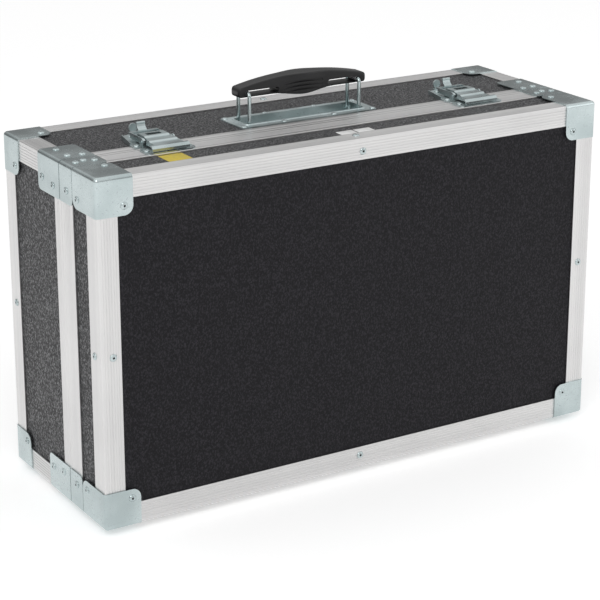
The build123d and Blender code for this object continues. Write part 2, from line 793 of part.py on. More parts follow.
def latch_lever():
    """Two side rails joined at the back, where the finger tab curls up."""
    low = latch_sheet + lever_floor_gap
    web_z = lever_high - lever_wall / 2
    web_end = lever_back + lever_web_length
    web = [(lever_back - 0.5, web_z), (web_end, web_z)]
    body = bent_strip(web, lever_wall, -lever_half_width, lever_half_width)
    outline = [
        (lever_pin_y, lever_pin_z - lever_eye_radius), (lever_back, low),
        (lever_back + lever_web_length / 2, lever_high), (lever_pin_y, lever_pin_z + lever_eye_radius),
    ]
    for side in (-1, 1):
        x0, x1 = sorted((side * lever_half_width, side * (lever_half_width - lever_wall)))
        body += side_profile(outline, x0, x1)
        body += cross_rod(lever_eye_radius, lever_pin_y, lever_pin_z, x0, x1)
    tab = [
        (lever_back + lever_web_length / 2, web_z), (web_end, web_z),
        (lever_tip_y - 1, (web_z + lever_tip_z) / 2), (lever_tip_y, lever_tip_z),
    ]
    body += bent_strip(tab, lever_wall, -lever_tip_half_width, lever_tip_half_width)
    body += cross_rod(lever_wall, lever_tip_y, lever_tip_z, -lever_tip_half_width, lever_tip_half_width)
    reach = lever_half_width + 1
    body -= cross_rod(lever_pin_radius + latch_pin_play, lever_pin_y, lever_pin_z, -reach, reach)
    body -= cross_rod(claw_pin_radius + latch_pin_play, claw_pin_y, claw_pin_z, -reach, reach)
    return body


def latch_claw():
    """A stepped plate that turns on the lever and hooks over the lip of the keeper."""
    half = claw_sheet / 2
    step_y = lever_pin_y + claw_step_length
    low_y = claw_low_start - claw_step_length
    rear = [
        (claw_pin_y, claw_pin_z + claw_knuckle_radius - half), (claw_pin_y - claw_ramp, claw_high_z),
        (step_y, claw_high_z), (lever_pin_y, claw_mid_z), (claw_front_start - 1, claw_mid_z),
    ]
    front = [
        (claw_front_start, claw_mid_z), (claw_low_start, claw_mid_z), (low_y, claw_low_z),
        (claw_flange_front - 0.5, claw_low_z),
    ]
    hook = [
        (claw_flange_front, claw_low_z), (claw_hook_y + claw_hook_bend, claw_low_z),
        (claw_hook_y, claw_low_z - claw_hook_bend), (claw_hook_y, latch_sheet + claw_hook_floor_gap),
    ]
    body = bent_strip(rear, claw_sheet, -claw_half_width, claw_half_width)
    body += bent_strip(front, claw_sheet, -claw_front_half_width, claw_front_half_width)
    body += bent_strip(hook, claw_sheet, -claw_hook_half_width, claw_hook_half_width)
    flange_z = latch_sheet + claw_flange_floor_gap
    flange = [(claw_front_start, flange_z), (claw_flange_front, flange_z)] + front[:0:-1] + [front[0]]
    flange[2] = (claw_flange_front, claw_low_z)
    for side in (-1, 1):
        x0, x1 = sorted((side * claw_front_half_width, side * (claw_front_half_width - claw_sheet)))
        body += side_profile(flange, x0, x1)
    body += cross_rod(claw_knuckle_radius, claw_pin_y, claw_pin_z, -claw_half_width, claw_half_width)
    reach = claw_half_width + 1
    body -= cross_rod(claw_pin_radius + latch_pin_play, claw_pin_y, claw_pin_z, -reach, reach)
    window = (step_y + claw_pin_y - claw_ramp) / 2
    return body - Pos(0, window, claw_high_z) * Box(claw_window_width, claw_window_length, 3 * claw_sheet)


def latch_keeper():
    """The plate on the lid with two riveted ears and a rolled lip."""
    middle = (keeper_back + keeper_front) / 2
    outline = RectangleRounded(2 * keeper_half_width, keeper_back - keeper_front, keeper_round)
    plate = extrude(Pos(0, middle) * outline, amount=latch_sheet)
    half = keeper_lip_half_width
    plate += block(-half, half, keeper_lip_y - latch_sheet / 2, keeper_lip_y + latch_sheet / 2, 0, keeper_lip_z)
    return plate + cross_rod(keeper_lip_radius, keeper_lip_y, keeper_lip_z, -half, half)


def latch_rivets(side):
    """The rivets of one latch on the base and on the lid."""
    z = z_high + latch_sheet
    ear_y = (latch_ear_front + latch_ear_back) / 2
    keeper_y = (keeper_back + keeper_front) / 2
    base, lid = [], []
    for s in (-1, 1):
        ear = side * latch_x + s * (latch_ear_half_width - latch_ear_rivet_inset)
        body = side * latch_x + s * latch_body_rivet_x
        keeper = side * latch_x + s * (keeper_half_width - keeper_rivet_inset)
        base.append(rivet((ear, y_joint + ear_y, z), (0, 0, 1), latch_rivet_radius))
        body_y = y_joint + latch_body_back - latch_body_rivet_inset
        base.append(rivet((body, body_y, z), (0, 0, 1), latch_rivet_radius))
        lid.append(rivet((keeper, y_joint + keeper_y, z), (0, 0, 1), latch_rivet_radius))
    return base, lid


# Everything in place
def make_shells():
    back, front = y_back - edge_wall, y_front + edge_wall
    nodes = shell_panels("base", "back_panel", back, back - panel_thick, base_face + web_depth)
    nodes.update(shell_panels("lid", "face_panel", front, front + panel_thick, lid_face - web_depth))
    cut_x = pan_length / 2 + dish_sheet + dish_cutout_play
    cut_y = bail_reach + bail_end_play
    cut = block(-cut_x, cut_x, handle_y - cut_y, handle_y + cut_y, z_high - shell_wall - 1, z_high)
    nodes["base_top_panel"] -= cut
    nodes["base_rear_edges"] = together(rectangle_edges(y_back, -1))
    nodes["lid_front_edges"] = together(rectangle_edges(y_front, 1))
    nodes["base_depth_edges"] = together(depth_edges(y_back, base_face + base_band, -1))
    nodes["lid_depth_edges"] = together(depth_edges(y_front, lid_face - lid_band, 1))
    nodes["base_closing_frame"] = together(base_closing_frame())
    nodes["lid_closing_frame"] = together(lid_closing_frame())
    base_cap, lid_cap = corner_cap(base_cap_depth + cap_sheet), corner_cap(lid_cap_depth)
    nodes["base_corner_caps"] = together(corners(base_cap, True, y_back + cap_sheet))
    nodes["lid_corner_caps"] = together(corners(lid_cap, False, y_front - cap_sheet))
    base_brace = corner_brace(base_brace_length - brace_gap)
    lid_brace = corner_brace(lid_brace_length)
    nodes["base_corner_braces"] = together(corners(base_brace, False, y_joint + brace_gap))
    nodes["lid_corner_braces"] = together(corners(lid_brace, True, y_joint - brace_gap))
    return nodes


def make_foam():
    x = half_width - shell_wall - foam_play
    z0, z1 = z_low + shell_wall + foam_play, z_high - shell_wall - foam_play
    y1 = y_back - shell_wall - foam_play
    y0 = y1 - foam_back_thick
    mouth = y_joint + foam_mouth
    side = foam_side_thick
    rim_end = y0 - foam_play
    top_strip = block(-x, x, mouth, rim_end, z1 - side, z1)
    relief = pan_length / 2 + dish_sheet + dish_cutout_play
    top_strip -= block(-relief, relief, y_joint, y_back, z_high - edge_wall - pan_depth - foam_play, z_high)
    strips = [
        top_strip,
        block(-x, x, mouth, rim_end, z0, z0 + side),
        block(-x, -x + side, mouth, rim_end, z0 + side + foam_play, z1 - side - foam_play),
        block(x - side, x, mouth, rim_end, z0 + side + foam_play, z1 - side - foam_play),
    ]
    lid_y = y_front + shell_wall + foam_play
    return {
        "base_foam_back": block(-x, x, y0, y1, z0, z1),
        "base_foam_sides": together(strips),
        "lid_foam": block(-x, x, lid_y, lid_y + foam_lid_thick, z0, z1),
    }


def make_feet():
    lid_foot_y = (y_front + edge_leg + lid_face - lid_band) / 2
    return {
        "base_feet": together([foot(s * foot_x, base_foot_y) for s in (-1, 1)]),
        "lid_feet": together([foot(s * foot_x, lid_foot_y) for s in (-1, 1)]),
    }


def make_hinges():
    base_leaf, lid_leaf = hinge_leaves()
    nodes = {}
    for name, side in (("left", -1), ("right", 1)):
        place = Pos(side * hinge_x, y_joint, z_low - hinge_axis_drop)
        half = hinge_length / 2
        nodes[f"hinge_{name}_base_leaf"] = place * base_leaf
        nodes[f"hinge_{name}_lid_leaf"] = place * lid_leaf
        nodes[f"hinge_{name}_pin"] = place * round_pin(hinge_pin_radius, 0, 0, half)
    return nodes


def make_handle():
    return {
        "handle_dish": handle_dish(),
        "handle_bail_left": bail(-1),
        "handle_bail_right": bail(1),
        "handle_bush_left": bush(-1),
        "handle_bush_right": bush(1),
        "handle_grip": handle_grip(),
        "handle_insert": insert_block(),
    }


def make_latches():
    reach = lever_half_width + latch_side_play + cheek_thick + lever_pin_overhang
    pieces = {
        "base": latch_base(),
        "lever": latch_lever(),
        "lever_pin": round_pin(lever_pin_radius, lever_pin_y, lever_pin_z, reach),
        "claw": latch_claw(),
        "claw_pin": round_pin(claw_pin_radius, claw_pin_y, claw_pin_z, lever_half_width),
        "keeper": latch_keeper(),
    }
    nodes = {}
    for name, side in (("left", -1), ("right", 1)):
        for piece, shape in pieces.items():
            nodes[f"latch_{name}_{piece}"] = Pos(side * latch_x, y_joint, z_high) * shape
    return nodes


def make_rivets():
    base = cap_rivets(y_back + cap_sheet, -1, base_cap_depth + cap_sheet) + edge_rivets(y_back, -1)
    lid = cap_rivets(y_front - cap_sheet, 1, lid_cap_depth) + edge_rivets(y_front, 1)
    base += brace_rivets(base_brace_flat_rivets, base_brace_side_rivets)
    lid += brace_rivets(lid_brace_flat_rivets, lid_brace_side_rivets)
    plate_z = z_high - edge_wall + dish_sheet
    edge_y = dish_width / 2 - dish_rivet_edge
    edge_x = dish_length / 2 - dish_rivet_edge
    for x in (-edge_x, -dish_rivet_x, dish_rivet_x, edge_x):
        for s in (-1, 1):
            base.append(rivet((x, handle_y + s * edge_y, plate_z), (0, 0, 1), latch_rivet_radius))
    for side in (-1, 1):
        latch_base_heads, latch_lid_heads = latch_rivets(side)
        base += latch_base_heads
        lid += latch_lid_heads
        leaf_z = z_low - hinge_sheet
        lid_y = y_joint - lid_leaf_reach + hinge_rivet_edge
        base_y = y_joint + base_leaf_reach - hinge_rivet_edge
        for k in (-1, 0, 1):
            x = side * hinge_x + k * hinge_rivet_spacing
            lid.append(rivet((x, lid_y, leaf_z), (0, 0, -1), latch_rivet_radius))
            base.append(rivet((x, base_y, leaf_z + edge_wall), (0, 0, -1), latch_rivet_radius))
    return {"base_rivets": together(base), "lid_rivets": together(lid)}


nodes = {}
nodes.update(make_shells())
nodes.update(make_foam())
nodes.update(make_feet())
nodes.update(make_hinges())
nodes.update(make_handle())
nodes.update(make_latches())
nodes.update(make_rivets())
for name, shape in nodes.items():
    save(name, shape)
print(len(nodes), "nodes written")
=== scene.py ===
import json
import math

import bmesh
import bpy
import numpy as np
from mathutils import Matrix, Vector


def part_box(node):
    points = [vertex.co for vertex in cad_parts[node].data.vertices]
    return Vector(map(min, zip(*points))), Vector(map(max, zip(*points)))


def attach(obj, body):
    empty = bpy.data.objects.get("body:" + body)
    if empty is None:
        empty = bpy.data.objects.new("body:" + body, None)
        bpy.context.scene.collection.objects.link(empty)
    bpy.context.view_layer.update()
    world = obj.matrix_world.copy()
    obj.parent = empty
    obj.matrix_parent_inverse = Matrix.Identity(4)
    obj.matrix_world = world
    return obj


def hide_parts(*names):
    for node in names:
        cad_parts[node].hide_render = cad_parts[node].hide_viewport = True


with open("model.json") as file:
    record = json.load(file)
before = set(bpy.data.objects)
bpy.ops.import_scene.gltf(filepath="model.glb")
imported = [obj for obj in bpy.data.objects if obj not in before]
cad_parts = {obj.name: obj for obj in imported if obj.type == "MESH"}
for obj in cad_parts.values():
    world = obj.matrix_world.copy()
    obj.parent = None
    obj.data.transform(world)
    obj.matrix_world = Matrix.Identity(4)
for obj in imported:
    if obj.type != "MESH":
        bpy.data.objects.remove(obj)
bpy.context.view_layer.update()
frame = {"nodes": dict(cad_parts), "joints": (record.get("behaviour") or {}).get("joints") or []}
nodes = frame["nodes"]
mm = 0.001
print("frame loaded,", len(nodes), "nodes")

# The case's own faces, read from the frame and turned to millimetres
edgeLow, edgeHigh = (corner * 1000 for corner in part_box("lid_front_edges"))
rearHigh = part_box("base_rear_edges")[1] * 1000
jointY = 1000 * frame["joints"][0]["pos_m"][1]
baseFace = 1000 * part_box("base_closing_frame")[0].y
case = {
    "halfWidth": edgeHigh.x,
    "low": edgeLow.z,
    "high": edgeHigh.z,
    "front": edgeLow.y,
    "back": rearHigh.y,
    "joint": jointY,
    "baseFace": baseFace,
    "lidFace": 2 * jointY - baseFace,
    "sheet": 1000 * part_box("lid_corner_caps")[1].x - edgeHigh.x,
}
caseMiddle = np.array([0, (case["front"] + case["back"]) / 2, (case["low"] + case["high"]) / 2])


# One output of a shader node; arithmetic on it adds Math nodes
class Flow:
    def __init__(self, shading, socket):
        self.shading, self.socket = shading, socket

    def math(self, operation, *values):
        return self.shading.node("ShaderNodeMath", {"operation": operation}, dict(enumerate(values)))

    def largest(self, other):
        return self.math("MAXIMUM", self, other)

    def __add__(self, other):
        return self.math("ADD", self, other)

    def __sub__(self, other):
        return self.math("SUBTRACT", self, other)

    def __rsub__(self, other):
        return self.math("SUBTRACT", other, self)

    def __mul__(self, other):
        return self.math("MULTIPLY", self, other)

    __radd__, __rmul__ = __add__, __mul__


# A tree of shader nodes; every new node comes from node()
class Shading:
    def __init__(self, tree):
        self.tree = tree

    def node(self, kind, settings=None, values=None, output=0):
        made = self.tree.nodes.new(kind)
        for key, value in (settings or {}).items():
            if key == "stops":
                while len(made.color_ramp.elements) < len(value):
                    made.color_ramp.elements.new(0.5)
                for element, (place, shade) in zip(made.color_ramp.elements, value):
                    element.position, element.color = place, (*shade, 1)
            else:
                setattr(made, key, value)
        for socket, value in (values or {}).items():
            self.feed(made.inputs[socket], value)
        return Flow(self, made.outputs[output])

    def feed(self, socket, value):
        if isinstance(value, Flow):
            self.tree.links.new(value.socket, socket)
        else:
            socket.default_value = value

    def place(self, scale=(1, 1, 1), turn=(0, 0, 0)):
        spot = self.node("ShaderNodeTexCoord", output="Object")
        return self.node("ShaderNodeMapping", values={"Vector": spot, "Scale": scale, "Rotation": turn})

    def noise(self, place, scale, detail=2.0, roughness=0.5, distortion=0.0):
        values = {"Vector": place, "Scale": scale, "Detail": detail, "Roughness": roughness}
        return self.node("ShaderNodeTexNoise", values={**values, "Distortion": distortion})

    def cells(self, place, scale):
        values = {"Vector": place, "Scale": scale}
        return self.node("ShaderNodeTexVoronoi", {"feature": "F1"}, values, "Distance")

    def ray(self, kind):
        return self.node("ShaderNodeLightPath", output=f"Is {kind} Ray")

    def spread(self, value, low, high, toLow=0.0, toHigh=1.0):
        values = {"Value": value, "From Min": low, "From Max": high, "To Min": toLow, "To Max": toHigh}
        return self.node("ShaderNodeMapRange", {"interpolation_type": "SMOOTHSTEP"}, values)

    def blend(self, factor, dark, light):
        # The colour sockets of a Mix node are its inputs 6 and 7 and its output 2
        dark, light = (shade if isinstance(shade, Flow) else (*shade, 1) for shade in (dark, light))
        return self.node("ShaderNodeMix", {"data_type": "RGBA"}, {0: factor, 6: dark, 7: light}, 2)

    def bump(self, height, strength, distance):
        values = {"Height": height, "Strength": strength, "Distance": distance}
        return self.node("ShaderNodeBump", values=values)


# A material with one Principled shader, whose sockets are named with _ for a space
class Finish(Shading):
    def __init__(self, name, **constants):
        self.material = bpy.data.materials.new(name)
        self.material.use_nodes = True
        super().__init__(self.material.node_tree)
        self.set(**constants)

    def set(self, **values):
        shader = self.tree.nodes["Principled BSDF"]
        for socket, value in values.items():
            self.feed(shader.inputs[socket.replace("_", " ")], value)
        return self.material


# Finishes
noiseRange = (0.3, 0.7)  # where nearly all values of a noise lie
laminateLook = {
    "pebble": 520, "wrinkle": 650, "wind": 0.9, "cloud": 9.0, "stretch": (1.0, 1.0, 0.7), "bumpDepth": 0.0005,
    "cellRange": (0.15, 0.75), "cellShare": 0.35, "wrinkleShare": 0.65, "heightRange": (0.2, 0.8),
    "toneRange": (0.38, 0.92), "cloudTone": (0.75, 0.5),
    "face": {
        "specular": 0.2, "dark": (0.006, 0.0056, 0.0075), "light": (0.026, 0.0245, 0.030),
        "roughness": (0.45, 0.62), "relief": 0.5,
    },
    # The side copy is the same film painted much lighter, standing in for light that glances off the top, end
    # and bottom panels
    "side": {
        "specular": 0.4, "dark": (0.007, 0.007, 0.008), "light": (0.20, 0.20, 0.21),
        "roughness": (0.34, 0.55), "relief": 0.9,
    },
}
aluminiumLook = {
    "dark": (0.62, 0.615, 0.615), "light": (0.71, 0.705, 0.70), "roughness": (0.32, 0.42),
    "streak": 1400, "streakAlong": 3.0, "streakShare": 0.35, "band": 90, "bandAlong": 1.2, "bandShare": 0.4,
    "cloud": 14.0, "cloudShare": 0.25, "toneRange": (0.34, 0.64), "scuff": 0.1,
    "scuffScale": (160, 70, 110), "scuffRange": (0.62, 0.74), "relief": 0.05, "bumpDepth": 0.00003,
}
zincLook = {
    "grey": (0.42, 0.485, 0.49), "pale": (0.54, 0.61, 0.615), "dull": (0.36, 0.40, 0.42),
    "roughness": (0.17, 0.28), "cloud": 26.0, "polish": (60, 60, 1400), "polishTurn": (0.2, 0.5, 0.0),
    "spot": 420, "spotRange": (0.6, 0.72), "spotShade": 0.5, "spotWear": 0.1,
    "cloudWear": 0.6, "wearRange": (0.2, 0.8), "relief": 0.08, "bumpDepth": 0.00006,
}
plasticLook = {
    "specular": 0.42, "flow": (18, 60, 60), "flowShare": 0.6, "toneRange": (0.35, 0.65),
    "relief": 0.3, "bumpDepth": 0.00012,
}
mouldings = {
    "plastic": ("moulded_plastic", 1500, (0.0035, 0.0035, 0.004), (0.008, 0.008, 0.009), (0.3, 0.42)),
    "bush": ("bush_plastic", 1500, (0.20, 0.20, 0.21), (0.30, 0.30, 0.31), (0.4, 0.6)),
    "rubber": ("foot_rubber", 900, (0.012, 0.012, 0.012), (0.03, 0.03, 0.03), (0.6, 0.8)),
    # The hole moulding is near black: painted shade inside the rivets' holes
    "hole": ("rivet_hole_shade", 900, (0.004, 0.004, 0.004), (0.012, 0.012, 0.012), (0.5, 0.7)),
}
# The foam's dark and light colours are painted shade in the pores and painted light on their rims
foamLook = {
    "dark": (0.012, 0.012, 0.014), "light": (0.05, 0.05, 0.055), "roughness": (0.85, 1.0),
    "specular": 0.1, "pores": 900, "poreShare": 0.6, "hollows": 380, "hollowShare": 0.4,
    "depthRange": (0.1, 0.6), "relief": 0.8, "bumpDepth": 0.0004,
}
paperLook = {"specular": 0.4, "mottle": 260, "roughness": (0.32, 0.45), "relief": 0.1, "bumpDepth": 0.00005}


def laminate(name, kind):
    # Pebbled film: winding wrinkles over rounded cells, with a painted highlight on the tops and painted
    # shade in the valleys, times a random cloud of tone
    look = {**laminateLook, **laminateLook[kind]}
    film = Finish(name, Metallic=0, Specular_IOR_Level=look["specular"])
    place = film.place(look["stretch"])
    tops = film.spread(film.cells(place, look["pebble"]), *look["cellRange"], 1.0, 0.0)
    wrinkles = film.spread(film.noise(place, look["wrinkle"], 2.0, 0.55, look["wind"]), *noiseRange)
    height = tops * look["cellShare"] + wrinkles * look["wrinkleShare"]
    smooth, rough = look["roughness"]
    least, swing = look["cloudTone"]
    cloud = film.noise(film.place(), look["cloud"], 4.0)
    # The tone from height is painted shade in the valleys and a painted highlight on the tops; the cloud is
    # the film's own uneven tone
    reliefShadeAndCloud = film.spread(height, *look["toneRange"]) * (least + cloud * swing)
    return film.set(
        Base_Color=film.blend(reliefShadeAndCloud, look["dark"], look["light"]),
        Roughness=film.spread(height, *look["heightRange"], rough, smooth),
        Normal=film.bump(height, look["relief"], look["bumpDepth"]),
    )


def aluminium(name, along):
    # Extruded bar: faint streaks drawn out along its own length, a slow tone change and a few handling marks
    look = aluminiumLook
    bar = Finish(name, Metallic=1.0)

    def drawn(key, *noise):
        scale = [look[key]] * 3
        scale[along] = look[f"{key}Along"]
        return bar.noise(bar.place(scale), 1.0, *noise)

    streaks, bands = drawn("streak", 3.0, 0.6), drawn("band")
    cloud = bar.noise(bar.place(), look["cloud"], 3.0)
    marks = bar.noise(bar.place(look["scuffScale"]), 1.0, 5.0, 0.7)
    scuff = bar.spread(marks, *look["scuffRange"]) * look["scuff"]
    mixture = streaks * look["streakShare"] + bands * look["bandShare"] + cloud * look["cloudShare"]
    return bar.set(
        Base_Color=bar.blend(bar.spread(mixture, *look["toneRange"]) - scuff, look["dark"], look["light"]),
        Roughness=bar.spread(streaks, *noiseRange, *look["roughness"]) + scuff,
        Normal=bar.bump(streaks, look["relief"], look["bumpDepth"]),
    )


def zinc(name, rough=1.0):
    # Zinc plate: slow clouds between grey and pale blue-green, fine polishing lines and small dull spots
    look = zincLook
    plate = Finish(name, Metallic=1.0)
    place = plate.place()
    cloud = plate.spread(plate.noise(place, look["cloud"], 3.0), *noiseRange)
    lines = plate.noise(plate.place(look["polish"], look["polishTurn"]), 1.0)
    spots = plate.spread(plate.noise(place, look["spot"]), *look["spotRange"])
    shade = plate.blend(cloud, look["grey"], look["pale"])
    wear = cloud * look["cloudWear"] + lines * (1 - look["cloudWear"])
    worn = plate.spread(wear, *look["wearRange"], *look["roughness"])
    return plate.set(
        Base_Color=plate.blend(spots * look["spotShade"], shade, look["dull"]),
        Roughness=(worn + spots * look["spotWear"]) * rough,
        Normal=plate.bump(lines * 0.5 + cloud * 0.5, look["relief"], look["bumpDepth"]),
    )


def plastic(name, grainScale, dark, light, roughness):
    # Moulded part: fine eroded grain and a faint flow pattern
    look = plasticLook
    part = Finish(name, Metallic=0, Specular_IOR_Level=look["specular"])
    grain = part.noise(part.place(), grainScale, 3.0, 0.6)
    flow = part.noise(part.place(look["flow"]), 1.0, 3.0)
    mixture = flow * look["flowShare"] + grain * (1 - look["flowShare"])
    return part.set(
        Base_Color=part.blend(part.spread(mixture, *look["toneRange"]), dark, light),
        Roughness=part.spread(grain, *noiseRange, *roughness),
        Normal=part.bump(grain, look["relief"], look["bumpDepth"]),
    )


def foamFinish():
    # Open cell foam: two sizes of pores, with painted shade inside them and painted light on their rims
    look = foamLook
    block = Finish("foam", Metallic=0, Specular_IOR_Level=look["specular"])
    place = block.place()
    pores, hollows = (block.cells(place, look[key]) for key in ("pores", "hollows"))
    depth = pores * look["poreShare"] + hollows * look["hollowShare"]
    height = block.spread(depth, *look["depthRange"], 1.0, 0.0)
    smooth, rough = look["roughness"]
    return block.set(
        Base_Color=block.blend(height, look["dark"], look["light"]),
        Roughness=block.spread(height, 0.0, 1.0, rough, smooth),
        Normal=block.bump(height, look["relief"], look["bumpDepth"]),
    )


def paper(name, dark, light):
    # Plain film: an even colour with faint mottling
    look = paperLook
    film = Finish(name, Metallic=0, Specular_IOR_Level=look["specular"])
    mottle = film.noise(film.place(), look["mottle"], 3.0)
    return film.set(
        Base_Color=film.blend(film.spread(mottle, *noiseRange), dark, light),
        Roughness=film.spread(mottle, *noiseRange, *look["roughness"]),
        Normal=film.bump(mottle, look["relief"], look["bumpDepth"]),
    )


finishes = {
    "laminateFace": laminate("laminate_face", "face"),
    "laminateLitSide": laminate("laminate_lit_side", "side"),
    "aluminiumX": aluminium("aluminium_across", 0),
    "aluminiumY": aluminium("aluminium_deep", 1),
    "aluminiumZ": aluminium("aluminium_upright", 2),
    "zinc": zinc("zinc_plate"),
    "zincDish": zinc("zinc_dish", 2.0),
    "zincLatch": zinc("zinc_latch", 1.4),
    "wire": zinc("zinc_wire", 0.75),
    "rivet": zinc("rivet_head", 1.2),
    **{key: plastic(*look) for key, look in mouldings.items()},
    "foam": foamFinish(),
    "yellow": paper("yellow_film", (0.62, 0.47, 0.03), (0.72, 0.56, 0.05)),
    "white": paper("white_film", (0.82, 0.82, 0.82), (0.92, 0.92, 0.91)),
}
print("finishes made,", len(finishes))


# Mesh helpers: points are millimetres in the case's frame
sharpAngle = 32  # degrees


def gridFaces(rows, columns, closeRows=False, closeColumns=False):
    # Quads between neighbours of a grid of points; a closed way joins its last line to its first
    r, c = np.indices((rows - (not closeRows), columns - (not closeColumns)))
    r2, c2 = (r + 1) % rows, (c + 1) % columns
    corners = [r * columns + c, r2 * columns + c, r2 * columns + c2, r * columns + c2]
    return np.stack(corners, -1).reshape(-1, 4).tolist()


def joined(shapes):
    # Several (points, faces) shapes as one, each face list moved on by the points before it
    points, faces, start = [], [], 0
    for shapePoints, shapeFaces in shapes:
        flat = np.asarray(shapePoints, float).reshape(-1, 3)
        points.append(flat)
        faces += [[k + start for k in face] for face in shapeFaces]
        start += len(flat)
    return np.concatenate(points), faces


def mirrored(shape, sx, sy, sz):
    # Each coordinate times 1 or -1; an odd number of flips turns the faces round
    points, faces = shape
    flipped = sx * sy * sz < 0
    return np.asarray(points) * (sx, sy, sz), [face[::-1] if flipped else face for face in faces]


def moved(shape, x, y, z):
    # The same faces on points moved by x, y, z
    return np.asarray(shape[0]) + (x, y, z), shape[1]


def capped(rings, rows, columns):
    # Rings of points with their side faces and one face at each end
    last = (rows - 1) * columns
    ends = [list(range(columns)), list(range(last, last + columns))]
    return rings, gridFaces(rows, columns, closeColumns=True) + ends


def turned(profile, sides):
    # A closed profile in (radius, distance) turned round an axis: two ways across, the way along, the faces
    profile, turn = np.array(profile), np.linspace(0, 2 * math.pi, sides, endpoint=False)
    radius, along = profile[:, :1], profile[:, 1:] + 0 * turn
    return radius * np.cos(turn), radius * np.sin(turn), along, gridFaces(len(profile), sides, True, True)


def smoothUpTo(mesh, sharp):
    # Smooth shading, with edges sharp where two faces meet at more than an angle in degrees
    mesh.polygons.foreach_set("use_smooth", np.ones(len(mesh.polygons), bool))
    mesh.set_sharp_from_angle(angle=math.radians(sharp))


def makePiece(
    name, shape, finish, body, replaces=(), faceFinish=None, closed=True, weld=1e-6,
    sharp=sharpAngle,
):
    # The mesh with doubles merged, normals outwards on a closed shell, and smooth shading up to a sharp angle
    points, faces = shape
    mesh = bpy.data.meshes.new(name)
    mesh.from_pydata((np.asarray(points).reshape(-1, 3) * mm).tolist(), [], faces)
    for key in [finish] if isinstance(finish, str) else finish:
        mesh.materials.append(finishes[key])
    if faceFinish is not None:
        mesh.polygons.foreach_set("material_index", np.asarray(faceFinish, np.int32))
    work = bmesh.new()
    work.from_mesh(mesh)
    bmesh.ops.remove_doubles(work, verts=work.verts, dist=weld)
    if closed:
        bmesh.ops.recalc_face_normals(work, faces=work.faces)
    work.to_mesh(mesh)
    work.free()
    smoothUpTo(mesh, sharp)
    piece = bpy.data.objects.new(name, mesh)
    bpy.context.scene.collection.objects.link(piece)
    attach(piece, body)
    if replaces:
        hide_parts(*replaces)
    return piece


pressing = {"edgeRound": 0.28, "segments": 2, "edgeAngle": 30}


def pressed(piece, sheet):
    # Sheet metal: the wall goes inwards from the modelled face, and its edges are rounded a little
    wall = piece.modifiers.new("sheet", "SOLIDIFY")
    wall.thickness, wall.offset, wall.use_even_offset = sheet * mm, -1, True
    bevel = piece.modifiers.new("soften", "BEVEL")
    bevel.width, bevel.segments = pressing["edgeRound"] * mm, pressing["segments"]
    bevel.limit_method, bevel.angle_limit = "ANGLE", math.radians(pressing["edgeAngle"])


# Aluminium edge bars
edgeBar = {
    "leg": 21.0, "wall": 1.6, "corner": 1.3, "cornerSteps": 7, "endRound": 0.35,
    "grooves": (4.4, 7.2, 10.0, 12.8, 15.6, 18.0), "grooveWidth": 0.95, "grooveDepth": 0.3, "endGap": 0.2,
}


def grooveLine(start, end, grooves, width, depth):
    # Distances along a face and how deep it dips there: sloping walls and a flat floor at each groove
    places, dips = [start], [0.0]
    for g in sorted(grooves):
        places += [g - width / 2, g - width / 5, g + width / 5, g + width / 2]
        dips += [0.0, depth, depth, 0.0]
    return np.array(places + [end]), np.array(dips + [0.0])


def angleOutline(bar):
    # Outline of an angle in two in-plane distances a and b; outer faces on the axes, rounded outer corner
    leg, wall, r, e = bar["leg"], bar["wall"], bar["corner"], bar["endRound"]
    along, dip = grooveLine(r, leg - e, bar["grooves"], bar["grooveWidth"], bar["grooveDepth"])
    turn = np.linspace(0, math.pi / 2, bar["cornerSteps"] + 1)[1:-1]
    arc = np.stack([r - r * np.sin(turn), r - r * np.cos(turn)], -1)
    outerA = np.stack([along[::-1], dip[::-1]], -1)
    outerB = np.stack([dip, along], -1)
    half = [(e, leg), (wall - e, leg), (wall, leg - e), (wall, wall + e)]
    inner = half + [(b, a) for a, b in half[::-1]]
    return np.concatenate([outerA, arc, outerB, np.array(inner)])


def barShape(outline, start, end, towardA, towardB):
    # The outline carried from start to end: point = end point + a * towardA + b * towardB
    a, b = outline[:, :1], outline[:, 1:]
    section = a * np.array(towardA, float) + b * np.array(towardB, float)
    return capped(np.stack([section + start, section + end]), 2, len(outline))


def cornerBars(outer, inward, band):
    # The four bars round a large face at y = outer, and the four that run back to the closing frame
    outline = angleOutline(edgeBar)
    w, low, high, short = case["halfWidth"], case["low"], case["high"], edgeBar["leg"] + edgeBar["endGap"]
    x = w - short
    rectangle, deep = [], []
    for z, down in ((high, -1), (low, 1)):
        rectangle.append(barShape(outline, (-x, outer, z), (x, outer, z), (0, inward, 0), (0, 0, down)))
    for s in (-1, 1):
        start, end = (s * w, outer, low + short), (s * w, outer, high - short)
        rectangle.append(barShape(outline, start, end, (0, inward, 0), (-s, 0, 0)))
        for z, down in ((high, -1), (low, 1)):
            start, end = (s * w, outer + inward * short, z), (s * w, band - inward * edgeBar["endGap"], z)
            deep.append(barShape(outline, start, end, (-s, 0, 0), (0, 0, down)))
    return rectangle, deep


bands = {"base": 14.0, "lid": 24.0}
for side, outer, inward, name in (("base", case["back"], -1, "rear"), ("lid", case["front"], 1, "front")):
    band = case["baseFace"] + bands["base"] if side == "base" else case["lidFace"] - bands["lid"]
    rectangle, deep = cornerBars(outer, inward, band)
    faceCount = len(rectangle[0][1])
    perFace = np.repeat([0, 0, 1, 1], faceCount)
    makePiece(f"{name}_edge_bars", joined(rectangle), ["aluminiumX", "aluminiumZ"], side,
              [f"{side}_{name}_edges"], perFace)
    makePiece(f"{side}_depth_bars", joined(deep), "aluminiumY", side, [f"{side}_depth_edges"])
print("edge bars made")


